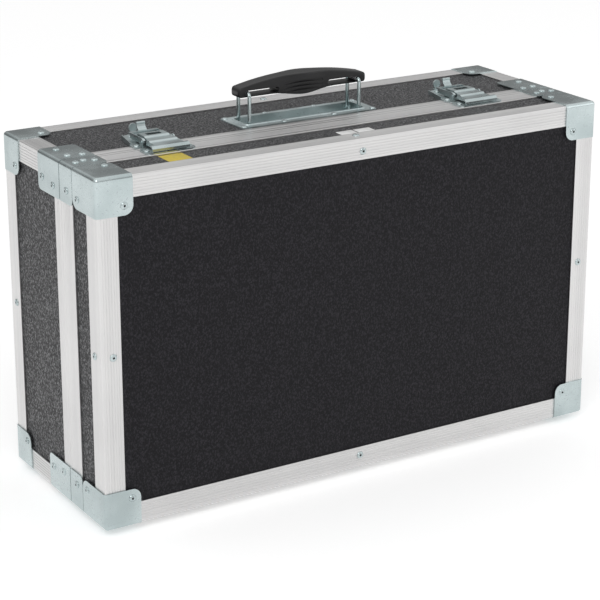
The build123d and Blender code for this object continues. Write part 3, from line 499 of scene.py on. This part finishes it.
# Closing frames: a section in (distance from the joint, inset from the outer faces) swept round the case
closing = {
    "flange": 1.6, "panelInset": 8.6, "lipInset": 10.0, "web": 5.0, "lip": 12.0, "cornerFlat": 1.757,
    "baseGrooves": (5.2, 8.0), "lidGrooves": (5.2, 8.2, 11.2, 14.2, 17.2),
    "grooveWidth": 0.95, "grooveDepth": 0.3, "tongueInset": 4.0, "tongueThick": 2.0, "tongueHeight": 2.2,
    "tongueRoom": 0.6, "ease": 0.3, "leastFlat": 0.2, "flatLoss": 0.6,
}


def frameSection(band, grooves, tongue):
    # Flange with grooves, web, lip, then back across the joint face with its tongue or the slot for it
    c, e = closing, closing["ease"]
    along, dip = grooveLine(e, band - e, grooves, c["grooveWidth"], c["grooveDepth"])
    outer = list(zip(along, dip))
    near, far = c["tongueInset"], c["tongueInset"] + c["tongueThick"]
    tall = -c["tongueHeight"]
    if not tongue:
        near, far, tall = near - c["tongueRoom"], far + c["tongueRoom"], c["tongueHeight"] + c["tongueRoom"]
    flange, web, lip = c["flange"], c["web"], c["lip"]
    panelInset, lipInset = c["panelInset"], c["lipInset"]
    rest = [
        (band, e), (band, flange - e), (band - e, flange), (web, flange), (web, panelInset),
        (lip - e, panelInset), (lip, panelInset + e), (lip, lipInset - e), (lip - e, lipInset),
        (e, lipInset), (0, lipInset - e), (0, far), (tall, far), (tall, near), (0, near), (0, e),
    ]
    return np.array(outer + rest)


def frameRing(face, into, section):
    # Each section point goes round eight corner points: the outer corners are cut by a small flat
    y = face + into * section[:, 0]
    inset = section[:, 1]
    flat = np.maximum(closing["leastFlat"], closing["cornerFlat"] - closing["flatLoss"] * inset)
    w, h = case["halfWidth"] - inset, (case["high"] - case["low"]) / 2 - inset
    middle = caseMiddle[2]
    xs = np.stack([-w + flat, w - flat, w, w, w - flat, -w + flat, -w, -w])
    zs = np.stack([h, h, h - flat, -h + flat, -h, -h, -h + flat, h - flat]) + middle
    points = np.stack([xs, np.broadcast_to(y, xs.shape), zs], -1)
    return points, gridFaces(8, len(section), closeRows=True, closeColumns=True)


for side, face, into, tongue in (("base", case["baseFace"], 1, False), ("lid", case["lidFace"], -1, True)):
    section = frameSection(bands[side], closing[f"{side}Grooves"], tongue)
    shape = frameRing(face, into, section)
    perFace = np.repeat([0, 0, 1, 1, 0, 0, 1, 1], len(section))
    makePiece(f"{side}_joint_frame", shape, ["aluminiumX", "aluminiumZ"], side,
              [f"{side}_closing_frame"], perFace)
print("closing frames made")


# Pressed corner caps and braces
cornerCap = {
    "leg": 36.0, "baseDepth": 34.0, "lidDepth": 45.8, "round": 3.8, "freeRound": 9.0, "lines": 7, "across": 6,
}
cornerBrace = {
    "leg": 36.0, "round": 3.8, "baseLength": 45.5, "lidLength": 26.0, "farRound": 5.0, "jointRound": 1.5,
    "gap": 0.5, "lines": 6,
}
insidePoint = 30.0  # a distance that is inside the case for every plate


def plateLines(length):
    # Grid lines along one side of a cap: even angles round the edge, a few across, then the free corner
    radius, free, steps = cornerCap["round"], cornerCap["freeRound"], cornerCap["lines"]
    bend = radius - radius * np.tan(np.linspace(math.pi / 4, 0, steps))
    middle = np.linspace(radius, length - free, cornerCap["across"])[1:]
    corner = length - free + free * np.sin(np.linspace(0, math.pi / 2, steps))[1:]
    return np.concatenate([bend, middle, corner])


def roundFreeCorner(u, v, lengthU, lengthV, free):
    # Inside the last square, square coordinates a, b go to the disc point a*sqrt(1-b*b/2), b*sqrt(1-a*a/2)
    a, b = (u - lengthU + free) / free, (v - lengthV + free) / free
    inside = (a > 0) & (b > 0)
    a, b = np.where(inside, a, 0), np.where(inside, b, 0)
    discA, discB = a * np.sqrt(1 - b * b / 2), b * np.sqrt(1 - a * a / 2)
    a, b = lengthU - free + free * discA, lengthV - free + free * discB
    return np.where(inside, a, u), np.where(inside, b, v)


def capShape(depth):
    # Three plates of a box corner; a point near an edge is pushed out of the inner box by the edge's radius
    r, leg = cornerCap["round"], cornerCap["leg"] + case["sheet"]
    size = (leg, depth, leg)
    plates = []
    for flat, (i, j) in ((1, (0, 2)), (2, (0, 1)), (0, (1, 2))):
        u, v = np.meshgrid(plateLines(size[i]), plateLines(size[j]), indexing="ij")
        points = np.zeros(u.shape + (3,))
        points[..., i], points[..., j] = roundFreeCorner(u, v, size[i], size[j], cornerCap["freeRound"])
        core = np.maximum(points, r)
        away = points - core
        length = np.linalg.norm(away, axis=-1, keepdims=True)
        faces = gridFaces(*u.shape)
        if flat != 1:
            faces = [face[::-1] for face in faces]
        plates.append((core + away * r / length, faces))
    return joined(plates)


def braceShape(length):
    # A flat plate with rounded corners in (across, from the joint), bent over the case's rounded edge
    r, leg = cornerBrace["round"], cornerBrace["leg"] + case["sheet"]
    farRound, jointRound, lines = (cornerBrace[key] for key in ("farRound", "jointRound", "lines"))
    arc = r * math.pi / 2
    half = leg - r + arc / 2
    step = np.sin(np.linspace(0, math.pi / 2, lines))[1:]
    bend = np.linspace(0, arc / 2, lines - 1)
    plate = np.linspace(arc / 2, half - farRound, lines - 2)[1:]
    across = np.concatenate([bend, plate, half - farRound + farRound * step])
    across = np.concatenate([-across[:0:-1], across])
    near = jointRound * (1 - step[::-1])
    middle = np.linspace(jointRound, length - farRound, lines - 1)
    back = np.concatenate([[0], near[1:], middle, length - farRound + farRound * step])
    s, t = np.meshgrid(across, back, indexing="ij")
    wide, t1 = roundFreeCorner(np.abs(s), t, half, length, farRound)
    wide, t2 = roundFreeCorner(wide, length - t1, half, length, jointRound)
    s, t = np.sign(s) * wide, length - t2
    angle = math.pi / 4 + np.clip(s, -arc / 2, arc / 2) / r
    beyond = s - np.clip(s, -arc / 2, arc / 2)
    x = np.where(s > 0, r + beyond, r) - np.where(s > arc / 2, 0, r * np.cos(angle))
    z = np.where(s < 0, r - beyond, r) - np.where(s < -arc / 2, 0, r * np.sin(angle))
    return np.stack([x, t, z], -1), gridFaces(*s.shape)


def facedOut(shape, inner):
    # Turns the whole shape over if its faces look towards the inner point
    points, faces = np.asarray(shape[0]).reshape(-1, 3), np.array(shape[1])
    a, b, c = (points[faces[:, k]] for k in range(3))
    look = np.sum(np.cross(b - a, c - a) * ((a + b + c) / 3 - inner))
    return points, (faces if look > 0 else faces[:, ::-1]).tolist()


def fourCorners(shape, side, kind, y, towardBack):
    # Copies of a left, low corner piece at the four corners of one shell, with the sheet's thickness inwards
    copies = []
    sheet = case["sheet"]
    w, low, high = case["halfWidth"] + sheet, case["low"] - sheet, case["high"] + sheet
    for sx in (1, -1):
        for sz in (1, -1):
            copy = mirrored(shape, sx, towardBack, sz)
            copies.append(moved(copy, -sx * w, y, low if sz > 0 else high))
    piece = makePiece(
        f"{side}_{kind}", joined(copies), "zinc", side, [f"{side}_corner_{kind}"], closed=False,
    )
    pressed(piece, sheet)


for side, outer, towardBack in (("base", case["back"], -1), ("lid", case["front"], 1)):
    cap = facedOut(capShape(cornerCap[f"{side}Depth"] + case["sheet"]), [insidePoint] * 3)
    fourCorners(cap, side, "caps", outer - towardBack * case["sheet"], towardBack)
for side, towardBack in (("base", 1), ("lid", -1)):
    length = cornerBrace[f"{side}Length"]
    brace = facedOut(braceShape(length), (insidePoint, length / 2, insidePoint))
    fourCorners(brace, side, "braces", case["joint"] + towardBack * cornerBrace["gap"], towardBack)
print("caps and braces made")


# Blind rivets, placed where the frame's plain heads are
rivetHead = {
    "sides": 28, "height": 1.3, "footBand": 0.05, "holeFrom": 8,
    "profile": (
        (1.0, 0.0), (1.0, 0.14), (0.97, 0.3), (0.88, 0.6), (0.74, 0.83), (0.56, 0.97),
        (0.4, 1.0), (0.33, 0.95), (0.3, 0.82), (0.29, 0.1),
    ),
}


def solidGroups(node):
    # Loose triangles of a node sorted into solids: corners that meet take the lowest label till none changes
    mesh = nodes[node].data
    points = np.zeros(3 * len(mesh.vertices))
    mesh.vertices.foreach_get("co", points)
    points = points.reshape(-1, 3) * 1000
    corners = np.zeros(3 * len(mesh.polygons), np.int64)
    mesh.polygons.foreach_get("vertices", corners)
    _, same = np.unique(np.round(points, 2), axis=0, return_inverse=True)
    same = same.reshape(-1)
    faces = same[corners.reshape(-1, 3)]
    label, before = np.arange(same.max() + 1), None
    while before is None or (before != label).any():
        before = label.copy()
        lowest = label[faces].min(1)
        for k in range(3):
            np.minimum.at(label, faces[:, k], lowest)
    ofPoint = label[same]
    return [points[ofPoint == mark] for mark in np.unique(ofPoint)]


def headShape(points):
    # The plain head's thin way gives the axis; its larger end is the foot, where the domed head sits
    low, high = points.min(0), points.max(0)
    axis = int(np.argmin(high - low))
    middle = (low + high) / 2
    ends = [points[np.abs(points[:, axis] - end[axis]) < rivetHead["footBand"]] for end in (low, high)]
    reach = [np.linalg.norm(end - middle, axis=1).max() for end in ends]
    way, foot = (1, ends[0]) if reach[0] > reach[1] else (-1, ends[1])
    middle[axis] = foot[0, axis]
    radius = np.linalg.norm(foot - middle, axis=1).max()
    profile = np.array(rivetHead["profile"])
    turn = np.linspace(0, 2 * math.pi, rivetHead["sides"], endpoint=False)
    u, v = [k for k in range(3) if k != axis]
    rings = np.zeros((len(profile), len(turn), 3)) + middle
    rings[..., u] += radius * profile[:, :1] * np.cos(turn)
    rings[..., v] += radius * profile[:, :1] * np.sin(turn)
    rings[..., axis] += way * rivetHead["height"] * profile[:, 1:]
    return capped(rings, len(profile), len(turn))


for side in ("base", "lid"):
    heads = [headShape(points) for points in solidGroups(f"{side}_rivets")]
    # The last rings and the end face behind them are the hole, in near-black plastic as painted shade; the
    # first end face is the foot
    dark = np.arange(len(heads[0][1])) >= rivetHead["holeFrom"] * rivetHead["sides"]
    dark[-2] = False
    perFace = np.tile(dark, len(heads))
    makePiece(
        f"{side}_rivet_heads", joined(heads), ["rivet", "hole"], side, [f"{side}_rivets"],
        perFace, sharp=50,
    )
    print(side, "rivets", len(heads))


# Drop handle
bailWire = {
    "radius": 1.9, "halfSpacing": 10.8, "lowBend": 2.5, "topBend": 3.2, "endRound": 0.35,
    "steps": 9, "sides": 20,
}
bushSleeve = {"bore": 1.98, "ease": 0.15, "sides": 32}
grip = {
    "endHalf": 8.5, "belly": 2.5, "bellyHalfLength": 27.0, "under": 4.0, "over": 5.0, "bellyUnder": 3.5,
    "bellyFade": 37.0, "crown": 13.6, "edge": 1.7, "edgeShare": 0.9, "endRound": 3.2,
    "stations": 97, "cornerSteps": 7, "openingSteps": 12, "openingLines": 9,
    "slotNear": 27.9, "slotFar": 65.9, "slotHalfHeight": 2.65, "slotReach": 20,
    "flutes": 3, "fluteLength": 44.0, "fluteHeight": 2.3, "fluteDepth": 2.6, "fluteDrop": 1.8,
    "flutePitch": 3.9, "fluteBend": 1.6, "fluteReach": 6,
}


def roundedPath(corners, radii, steps):
    # Straight runs with a quarter arc at each inner corner
    points = [np.array(corners[0], float)]
    for k, radius in enumerate(radii):
        before, corner, after = (np.array(corners[k + j], float) for j in range(3))
        into, out = (corner - before), (after - corner)
        into, out = into / np.linalg.norm(into), out / np.linalg.norm(out)
        turn = np.linspace(0, math.pi / 2, steps)[:, None]
        centre = corner + (out - into) * radius
        points.append(centre + (into * np.sin(turn) - out * np.cos(turn)) * radius)
    points.append(np.array(corners[-1], float))
    return np.vstack(points)


def flatTube(path, side):
    # A round tube along a path that lies in one plane; side is that plane's normal, and the ends are eased
    radius, ease, sides = bailWire["radius"], bailWire["endRound"], bailWire["sides"]
    ahead = np.gradient(path, axis=0)
    ahead /= np.linalg.norm(ahead, axis=1, keepdims=True)
    size = np.pad(np.full(len(path), radius), 1, constant_values=radius - ease)
    path = np.vstack([path[0], path[0] + ahead[0] * ease, path[1:-1], path[-1] - ahead[-1] * ease, path[-1]])
    ahead = np.vstack([ahead[0], ahead, ahead[-1]])
    over = np.cross(side, ahead)
    turn = np.linspace(0, 2 * math.pi, sides, endpoint=False)[:, None]
    ring = np.cos(turn) * np.array(side, float) + np.sin(turn) * over[:, None, :]
    return capped(path[:, None, :] + size[:, None, None] * ring, len(path), sides)


for side in ("left", "right"):
    low, high = (corner * 1000 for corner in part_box(f"handle_bail_{side}"))
    x, yMiddle = (low.x + high.x) / 2, (low.y + high.y) / 2
    reach, half, r = (high.y - low.y) / 2, bailWire["halfSpacing"], bailWire["radius"]
    bottom, top = low.z + r, high.z - r
    corners = [(-reach, bottom), (-half, bottom), (-half, top), (half, top), (half, bottom), (reach, bottom)]
    corners = [(x, yMiddle + y, z) for y, z in corners]
    radii = [bailWire["lowBend"], bailWire["topBend"], bailWire["topBend"], bailWire["lowBend"]]
    path = roundedPath(corners, radii, bailWire["steps"])
    node = f"handle_bail_{side}"
    makePiece(f"bail_wire_{side}", flatTube(path, (1, 0, 0)), "wire", node, [node], sharp=50)


def sleeve(low, high):
    # A bored bush that fills a box, turned round the Y axis through the box's middle
    x, y, z = (low + high) / 2
    bore, e = bushSleeve["bore"], bushSleeve["ease"]
    outer, half = (high.z - low.z) / 2, (high.y - low.y) / 2
    near = [(bore, -half), (outer - e, -half), (outer, e - half)]
    profile = near + [(radius, -along) for radius, along in near[::-1]]
    across, up, along, faces = turned(profile, bushSleeve["sides"])
    return np.stack([x + across, y + along, z + up], -1), faces


for side in ("left", "right"):
    node = f"handle_bush_{side}"
    low, high = (corner * 1000 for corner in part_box(node))
    makePiece(f"bush_sleeve_{side}", sleeve(low, high), "bush", node, [node], sharp=40)


def gripBody(yMiddle, z0, halfLength):
    # Stations along the grip: an arched top, a swelling belly and a rounded rectangle across
    g = grip
    inner = np.linspace(-1, 1, g["stations"]) * (halfLength - g["endRound"])
    quarter = np.linspace(0, math.pi / 2, g["cornerSteps"])
    ease = np.sin(quarter)[1:] * g["endRound"]
    x = np.concatenate([(-halfLength + g["endRound"] - ease)[::-1], inner, halfLength - g["endRound"] + ease])
    past = np.maximum(0, np.abs(x) - (halfLength - g["endRound"]))
    shrink = g["endRound"] - np.sqrt(np.maximum(0, g["endRound"] ** 2 - past ** 2))
    rise = g["crown"] - g["over"]
    bow = (halfLength ** 2 + rise ** 2) / (2 * rise)
    top = g["crown"] - (bow - np.sqrt(bow ** 2 - x ** 2)) - shrink
    near = np.clip(np.abs(x) / g["bellyFade"], 0, 1)
    bottom = -g["under"] - g["bellyUnder"] * (1 + np.cos(math.pi * near)) / 2 + shrink
    swell = np.clip(np.abs(x) / g["bellyHalfLength"], 0, 1)
    wide = g["endHalf"] + g["belly"] * (1 + np.cos(math.pi * swell)) / 2 - shrink
    centre, tall = (top + bottom) / 2, (top - bottom) / 2
    edge = np.minimum(g["edge"], g["edgeShare"] * np.minimum(wide, tall))
    across, up = [], []
    for k, (sy, sz) in enumerate(((1, 1), (-1, 1), (-1, -1), (1, -1))):
        turn = quarter + k * math.pi / 2
        across.append(sy * (wide - edge)[:, None] + edge[:, None] * np.cos(turn))
        up.append(sz * (tall - edge)[:, None] + edge[:, None] * np.sin(turn))
    across, up = np.hstack(across), np.hstack(up) + centre[:, None]
    points = np.stack([np.broadcast_to(x[:, None], across.shape), yMiddle + across, z0 + up], -1)
    return capped(points, *across.shape)


def slab(outline, y0, y1):
    # An outline in (x, z) carried from y0 to y1
    rings = np.stack([np.insert(np.asarray(outline), 1, y, axis=1) for y in (y0, y1)])
    return capped(rings, 2, len(outline))


def stadium(x0, x1, z, half, bend=0.0):
    # Two half circles joined by straight sides; bend lowers the ends so that it follows the grip's arch
    turn = np.linspace(-math.pi / 2, math.pi / 2, grip["openingSteps"])
    right = np.stack([x1 - half + half * np.cos(turn), half * np.sin(turn)], -1)
    left = np.stack([x0 + half - half * np.cos(turn), -half * np.sin(turn)], -1)
    line = np.linspace(x1 - half, x0 + half, grip["openingLines"])[1:-1]
    top, bottom = np.stack([line, 0 * line + half], -1), np.stack([line[::-1], 0 * line - half], -1)
    outline = np.concatenate([right, top, left, bottom])
    middle, reach = (x0 + x1) / 2, (x1 - x0) / 2
    outline[:, 1] += z - bend * ((outline[:, 0] - middle) / reach) ** 2
    return outline


def cutAway(piece, cutters):
    # The piece's mesh without the cutters, worked out once so that no modifier stays live
    tool = bpy.data.objects.new("cutter", bpy.data.meshes.new("cutter"))
    points, faces = joined(cutters)
    tool.data.from_pydata((points * mm).tolist(), [], faces)
    bpy.context.scene.collection.objects.link(tool)
    work = bmesh.new()
    work.from_mesh(tool.data)
    bmesh.ops.recalc_face_normals(work, faces=work.faces)
    work.to_mesh(tool.data)
    work.free()
    cut = piece.modifiers.new("cut", "BOOLEAN")
    cut.object, cut.operation, cut.solver = tool, "DIFFERENCE", "EXACT"
    depsgraph = bpy.context.evaluated_depsgraph_get()
    result = bpy.data.meshes.new_from_object(piece.evaluated_get(depsgraph))
    piece.modifiers.clear()
    old, piece.data = piece.data, result
    result.name = old.name
    bpy.data.meshes.remove(old)
    bpy.data.objects.remove(tool)
    smoothUpTo(result, sharpAngle)


low, high = (corner * 1000 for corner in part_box("handle_grip"))
crossbar = 1000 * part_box("handle_bail_left")[1].z - bailWire["radius"]
middle = (low.y + high.y) / 2
body = gripBody(middle, crossbar, (high.x - low.x) / 2)
gripPiece = makePiece("grip", body, "plastic", "handle_grip", ["handle_grip"])
cutters = []
for s in (-1, 1):
    slot = stadium(*sorted((s * grip["slotNear"], s * grip["slotFar"])), crossbar, grip["slotHalfHeight"])
    cutters.append(slab(slot, middle - grip["slotReach"], middle + grip["slotReach"]))
    half, face = grip["fluteLength"] / 2, middle + s * (grip["endHalf"] + grip["belly"] - grip["fluteDepth"])
    for k in range(grip["flutes"]):
        z = crossbar - grip["fluteDrop"] + k * grip["flutePitch"]
        flute = stadium(-half, half, z, grip["fluteHeight"] / 2, grip["fluteBend"])
        cutters.append(slab(flute, face, face + s * grip["fluteReach"]))
low, high = (corner * 1000 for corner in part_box("handle_insert"))
cutters.append(slab([(low.x, low.z), (high.x, low.z), (high.x, high.z), (low.x, high.z)], low.y, high.y))
cutAway(gripPiece, cutters)
print("handle made")


# Rubber feet
foot = {"taper": 1.5, "recess": 3.0, "recessRadius": 4.5, "pole": 0.05, "sides": 48}


def footShape(x, y, top, radius):
    # A turned profile: wide at the case, tapering to a rounded ground edge with a screw recess
    ground, recess, hole, pole = radius - foot["taper"], foot["recess"], foot["recessRadius"], foot["pole"]
    profile = [
        (pole, recess), (hole - 0.3, recess), (hole, recess - 0.2), (hole, 0.4), (hole + 0.4, 0.0),
        (ground - 0.9, 0.0), (ground - 0.25, 0.25), (ground, 0.9),
        (radius - 0.3, top - 0.8), (radius, top - 0.3), (radius, top), (pole, top),
    ]
    across, back, up, faces = turned(profile, foot["sides"])
    return np.stack([x + across, y + back, up], -1), faces


for side in ("base", "lid"):
    low, high = (corner * 1000 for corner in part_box(f"{side}_feet"))
    radius = (high.y - low.y) / 2
    feet = [footShape(s * (high.x - radius), (low.y + high.y) / 2, high.z, radius) for s in (-1, 1)]
    makePiece(f"{side}_rubber_feet", joined(feet), "rubber", side, [f"{side}_feet"])
print("feet made")


# Foam lining
foam = {
    "edge": 4.0, "edgeShare": 0.4, "crown": 1.6, "rimFade": 14, "wave": 0.5, "waveLengths": (23, 31),
    "spacing": 12, "lines": (6, 26), "crowding": 0.65,
}


def padShape(low, high, face):
    # A box's surface pushed to rounded edges; the open face drops by the crown near its rim, with slow waves
    size = high - low
    count = np.clip((size / foam["spacing"]).astype(int), *foam["lines"])
    crowding = foam["crowding"]
    sheets = []
    for axis in range(3):
        i, j = [k for k in range(3) if k != axis]
        # Grid lines lie closer together towards the edges
        swing = [np.cos(math.pi * np.linspace(0, 1, count[k] + 1)) for k in (i, j)]
        u, v = (0.5 - 0.5 * s * (1 - crowding + crowding * np.abs(s)) for s in swing)
        for end in (0.0, 1.0):
            grid = np.zeros((len(u), len(v), 3))
            grid[..., i], grid[..., j] = np.meshgrid(u, v, indexing="ij")
            grid[..., axis] = end
            sheets.append((low + grid * size, gridFaces(len(u), len(v))))
    points, faces = joined(sheets)
    edge = min(foam["edge"], foam["edgeShare"] * size.min())
    core = np.clip(points, low + edge, high - edge)
    away = points - core
    length = np.maximum(np.linalg.norm(away, axis=1, keepdims=True), 1e-9)
    points = core + away * edge / length
    axis, way = face
    i, j = [k for k in range(3) if k != axis]
    u, v, (waveU, waveV) = points[:, i], points[:, j], foam["waveLengths"]
    rim = np.minimum.reduce([u - low[i], high[i] - u, v - low[j], high[j] - v])
    sink = foam["crown"] * np.exp(-rim / foam["rimFade"])
    sink += foam["wave"] * (1 + np.sin(u / waveU + 1) * np.sin(v / waveV)) / 2
    share = (points[:, axis] - low[axis]) / size[axis]
    share = share if way > 0 else 1 - share
    points[:, axis] -= way * sink * share ** 3
    return points, faces


for node, piece, body, face in (
    ("base_foam_back", "back_pad", "base", (1, -1)), ("lid_foam", "lid_pad", "lid", (1, 1)),
):
    low, high = (np.array(corner) * 1000 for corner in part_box(node))
    pad = makePiece(piece, padShape(low, high, face), "foam", body, [node], weld=1e-5, sharp=60)
strips = []
for points in solidGroups("base_foam_sides"):
    low, high = points.min(0), points.max(0)
    axis = 0 if high[0] - low[0] <= high[2] - low[2] else 2
    inwards = -1 if (low + high)[axis] / 2 > caseMiddle[axis] else 1
    strips.append(padShape(low, high, (axis, inwards)))
sidePads = makePiece(
    "side_pads", joined(strips), "foam", "base", ["base_foam_sides"], weld=1e-5, sharp=60,
)
print("foam made")


# Plain film patches on the lid's top strip
patches = (
    ("yellow_patch", "yellow", -192.5, -168.0, -77.5, -51.0),
    ("white_patch_left", "white", -7.5, 10.5, -75.5, -61.5),
    ("white_patch_right", "white", 12.0, 30.5, -75.5, -61.5),
)
patchFilm = {"thick": 0.15, "round": 1.0, "roundSteps": 5, "wallShare": 0.6, "topShare": 0.985}


def patchShape(x0, x1, y0, y1, z):
    # A rectangle with quarter circles at its corners, whose top is drawn in a little
    r, turn = patchFilm["round"], np.linspace(0, math.pi / 2, patchFilm["roundSteps"])
    corners = ((x1 - r, y1 - r), (x0 + r, y1 - r), (x0 + r, y0 + r), (x1 - r, y0 + r))
    flat = []
    for k, (x, y) in enumerate(corners):
        angle = turn + k * math.pi / 2
        flat.append(np.stack([x + r * np.cos(angle), y + r * np.sin(angle)], -1))
    flat = np.concatenate(flat)
    middle = flat.mean(0)
    top = middle + (flat - middle) * patchFilm["topShare"]
    thick = patchFilm["thick"]
    layers = ((flat, 0), (flat, thick * patchFilm["wallShare"]), (top, thick))
    rings = np.stack([np.insert(ring, 2, z + height, axis=1) for ring, height in layers])
    return capped(rings, len(layers), len(flat))


stripTop = 1000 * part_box("lid_top_panel")[1].z
for name, finish, x0, x1, y0, y1 in patches:
    makePiece(name, patchShape(x0, x1, y0, y1, stripTop), finish, "lid")
print("film patches made")


def dress(node, finish):
    # A frame node that shows as it is gets its material and nothing else
    nodes[node].data.materials.clear()
    nodes[node].data.materials.append(finishes[finish])


for node in nodes:
    if node in ("lid_face_panel", "base_back_panel"):
        dress(node, "laminateFace")
    # Every other panel takes the lighter copy of the film, whose extra lightness is painted light
    elif node.endswith("_panel"):
        dress(node, "laminateLitSide")
    elif "latch" in node:
        dress(node, "zincLatch")
    elif "hinge" in node or node == "handle_insert":
        dress(node, "zinc")
    elif node == "handle_dish":
        dress(node, "zincDish")
print("frame nodes dressed")

# Floor, light and camera
floorReach = 30
floorMesh = bpy.data.meshes.new("floor")
floorCorners = [(x * floorReach, y * floorReach, 0) for x, y in ((-1, -1), (1, -1), (1, 1), (-1, 1))]
floorMesh.from_pydata(floorCorners, [], [(0, 1, 2, 3)])
floor = bpy.data.objects.new("floor", floorMesh)
bpy.context.scene.collection.objects.link(floor)
floorFinish = Finish("pale_floor", Roughness=0.9, Specular_IOR_Level=0.0, Emission_Strength=0.32)
seen = floorFinish.ray("Camera").largest(floorFinish.ray("Glossy"))
floorFinish.set(
    Base_Color=floorFinish.blend(seen, (0.80, 0.80, 0.80), (1.0, 1.0, 1.0)),
    Emission_Color=floorFinish.blend(seen, (0.0, 0.0, 0.0), (1.0, 1.0, 1.0)),
)
floorMesh.materials.append(floorFinish.material)

# The world is white to the camera; in metal it is brighter overhead and dimmer low behind the case
studio = {
    "diffuse": 0.62, "mirror": (0.5, 1.0), "mirrorRange": (0.05, 0.8),
    "flag": 0.5, "flagBehind": (0.35, 0.8), "flagHeight": (0.3, 0.65),
}
world = bpy.data.worlds.new("studio")
world.use_nodes = True
bpy.context.scene.world = world
sky = Shading(world.node_tree)
direct, mirror = sky.ray("Camera"), sky.ray("Glossy").largest(sky.ray("Transmission"))
way = sky.node("ShaderNodeTexCoord", output="Generated")
upward = sky.node("ShaderNodeSeparateXYZ", values={0: way}, output="Z")
behind = sky.node("ShaderNodeSeparateXYZ", values={0: way}, output="Y")
flag = sky.spread(behind, *studio["flagBehind"]) * sky.spread(upward, *studio["flagHeight"], 1.0, 0.0)
gleam = sky.spread(upward, *studio["mirrorRange"], *studio["mirror"]) * (1 - flag * (1 - studio["flag"]))
strength = mirror * gleam + (1 - mirror) * studio["diffuse"]
background = world.node_tree.nodes["Background"]
sky.feed(background.inputs["Strength"], direct + (1 - direct) * strength)
sky.feed(background.inputs["Color"], (1, 1, 1, 1))


def lamp(name, place, target, size, power):
    # A soft rectangular lamp that looks at its target
    light = bpy.data.lights.new(name, "AREA")
    light.shape, light.size, light.size_y, light.energy = "RECTANGLE", size[0], size[1], power
    holder = bpy.data.objects.new(name, light)
    bpy.context.scene.collection.objects.link(holder)
    holder.location = place
    holder.rotation_euler = (Vector(target) - Vector(place)).to_track_quat("-Z", "Y").to_euler()


lamp("key", (-1.6, -1.9, 2.3), (0, 0, 0.2), (1.6, 1.6), 26)
lamp("fill", (2.2, -1.6, 1.2), (0, 0, 0.2), (1.6, 1.6), 8)

view = {
    "yaw": 31.436, "pitch": 17.838, "lens": 119.38, "place": (-0.9970, -1.6160, 0.8154), "shiftY": -0.08,
    "sensor": 36, "clip": (0.05, 100),
}
camera = bpy.data.objects.new("camera", bpy.data.cameras.new("camera"))
bpy.context.scene.collection.objects.link(camera)
camera.location = view["place"]
camera.rotation_euler = (math.radians(90 - view["pitch"]), 0, -math.radians(view["yaw"]))
camera.data.lens, camera.data.sensor_width = view["lens"], view["sensor"]
camera.data.shift_y = view["shiftY"]
camera.data.clip_start, camera.data.clip_end = view["clip"]
bpy.context.scene.camera = camera
bpy.context.scene.view_settings.view_transform = "Standard"

bpy.context.view_layer.update()
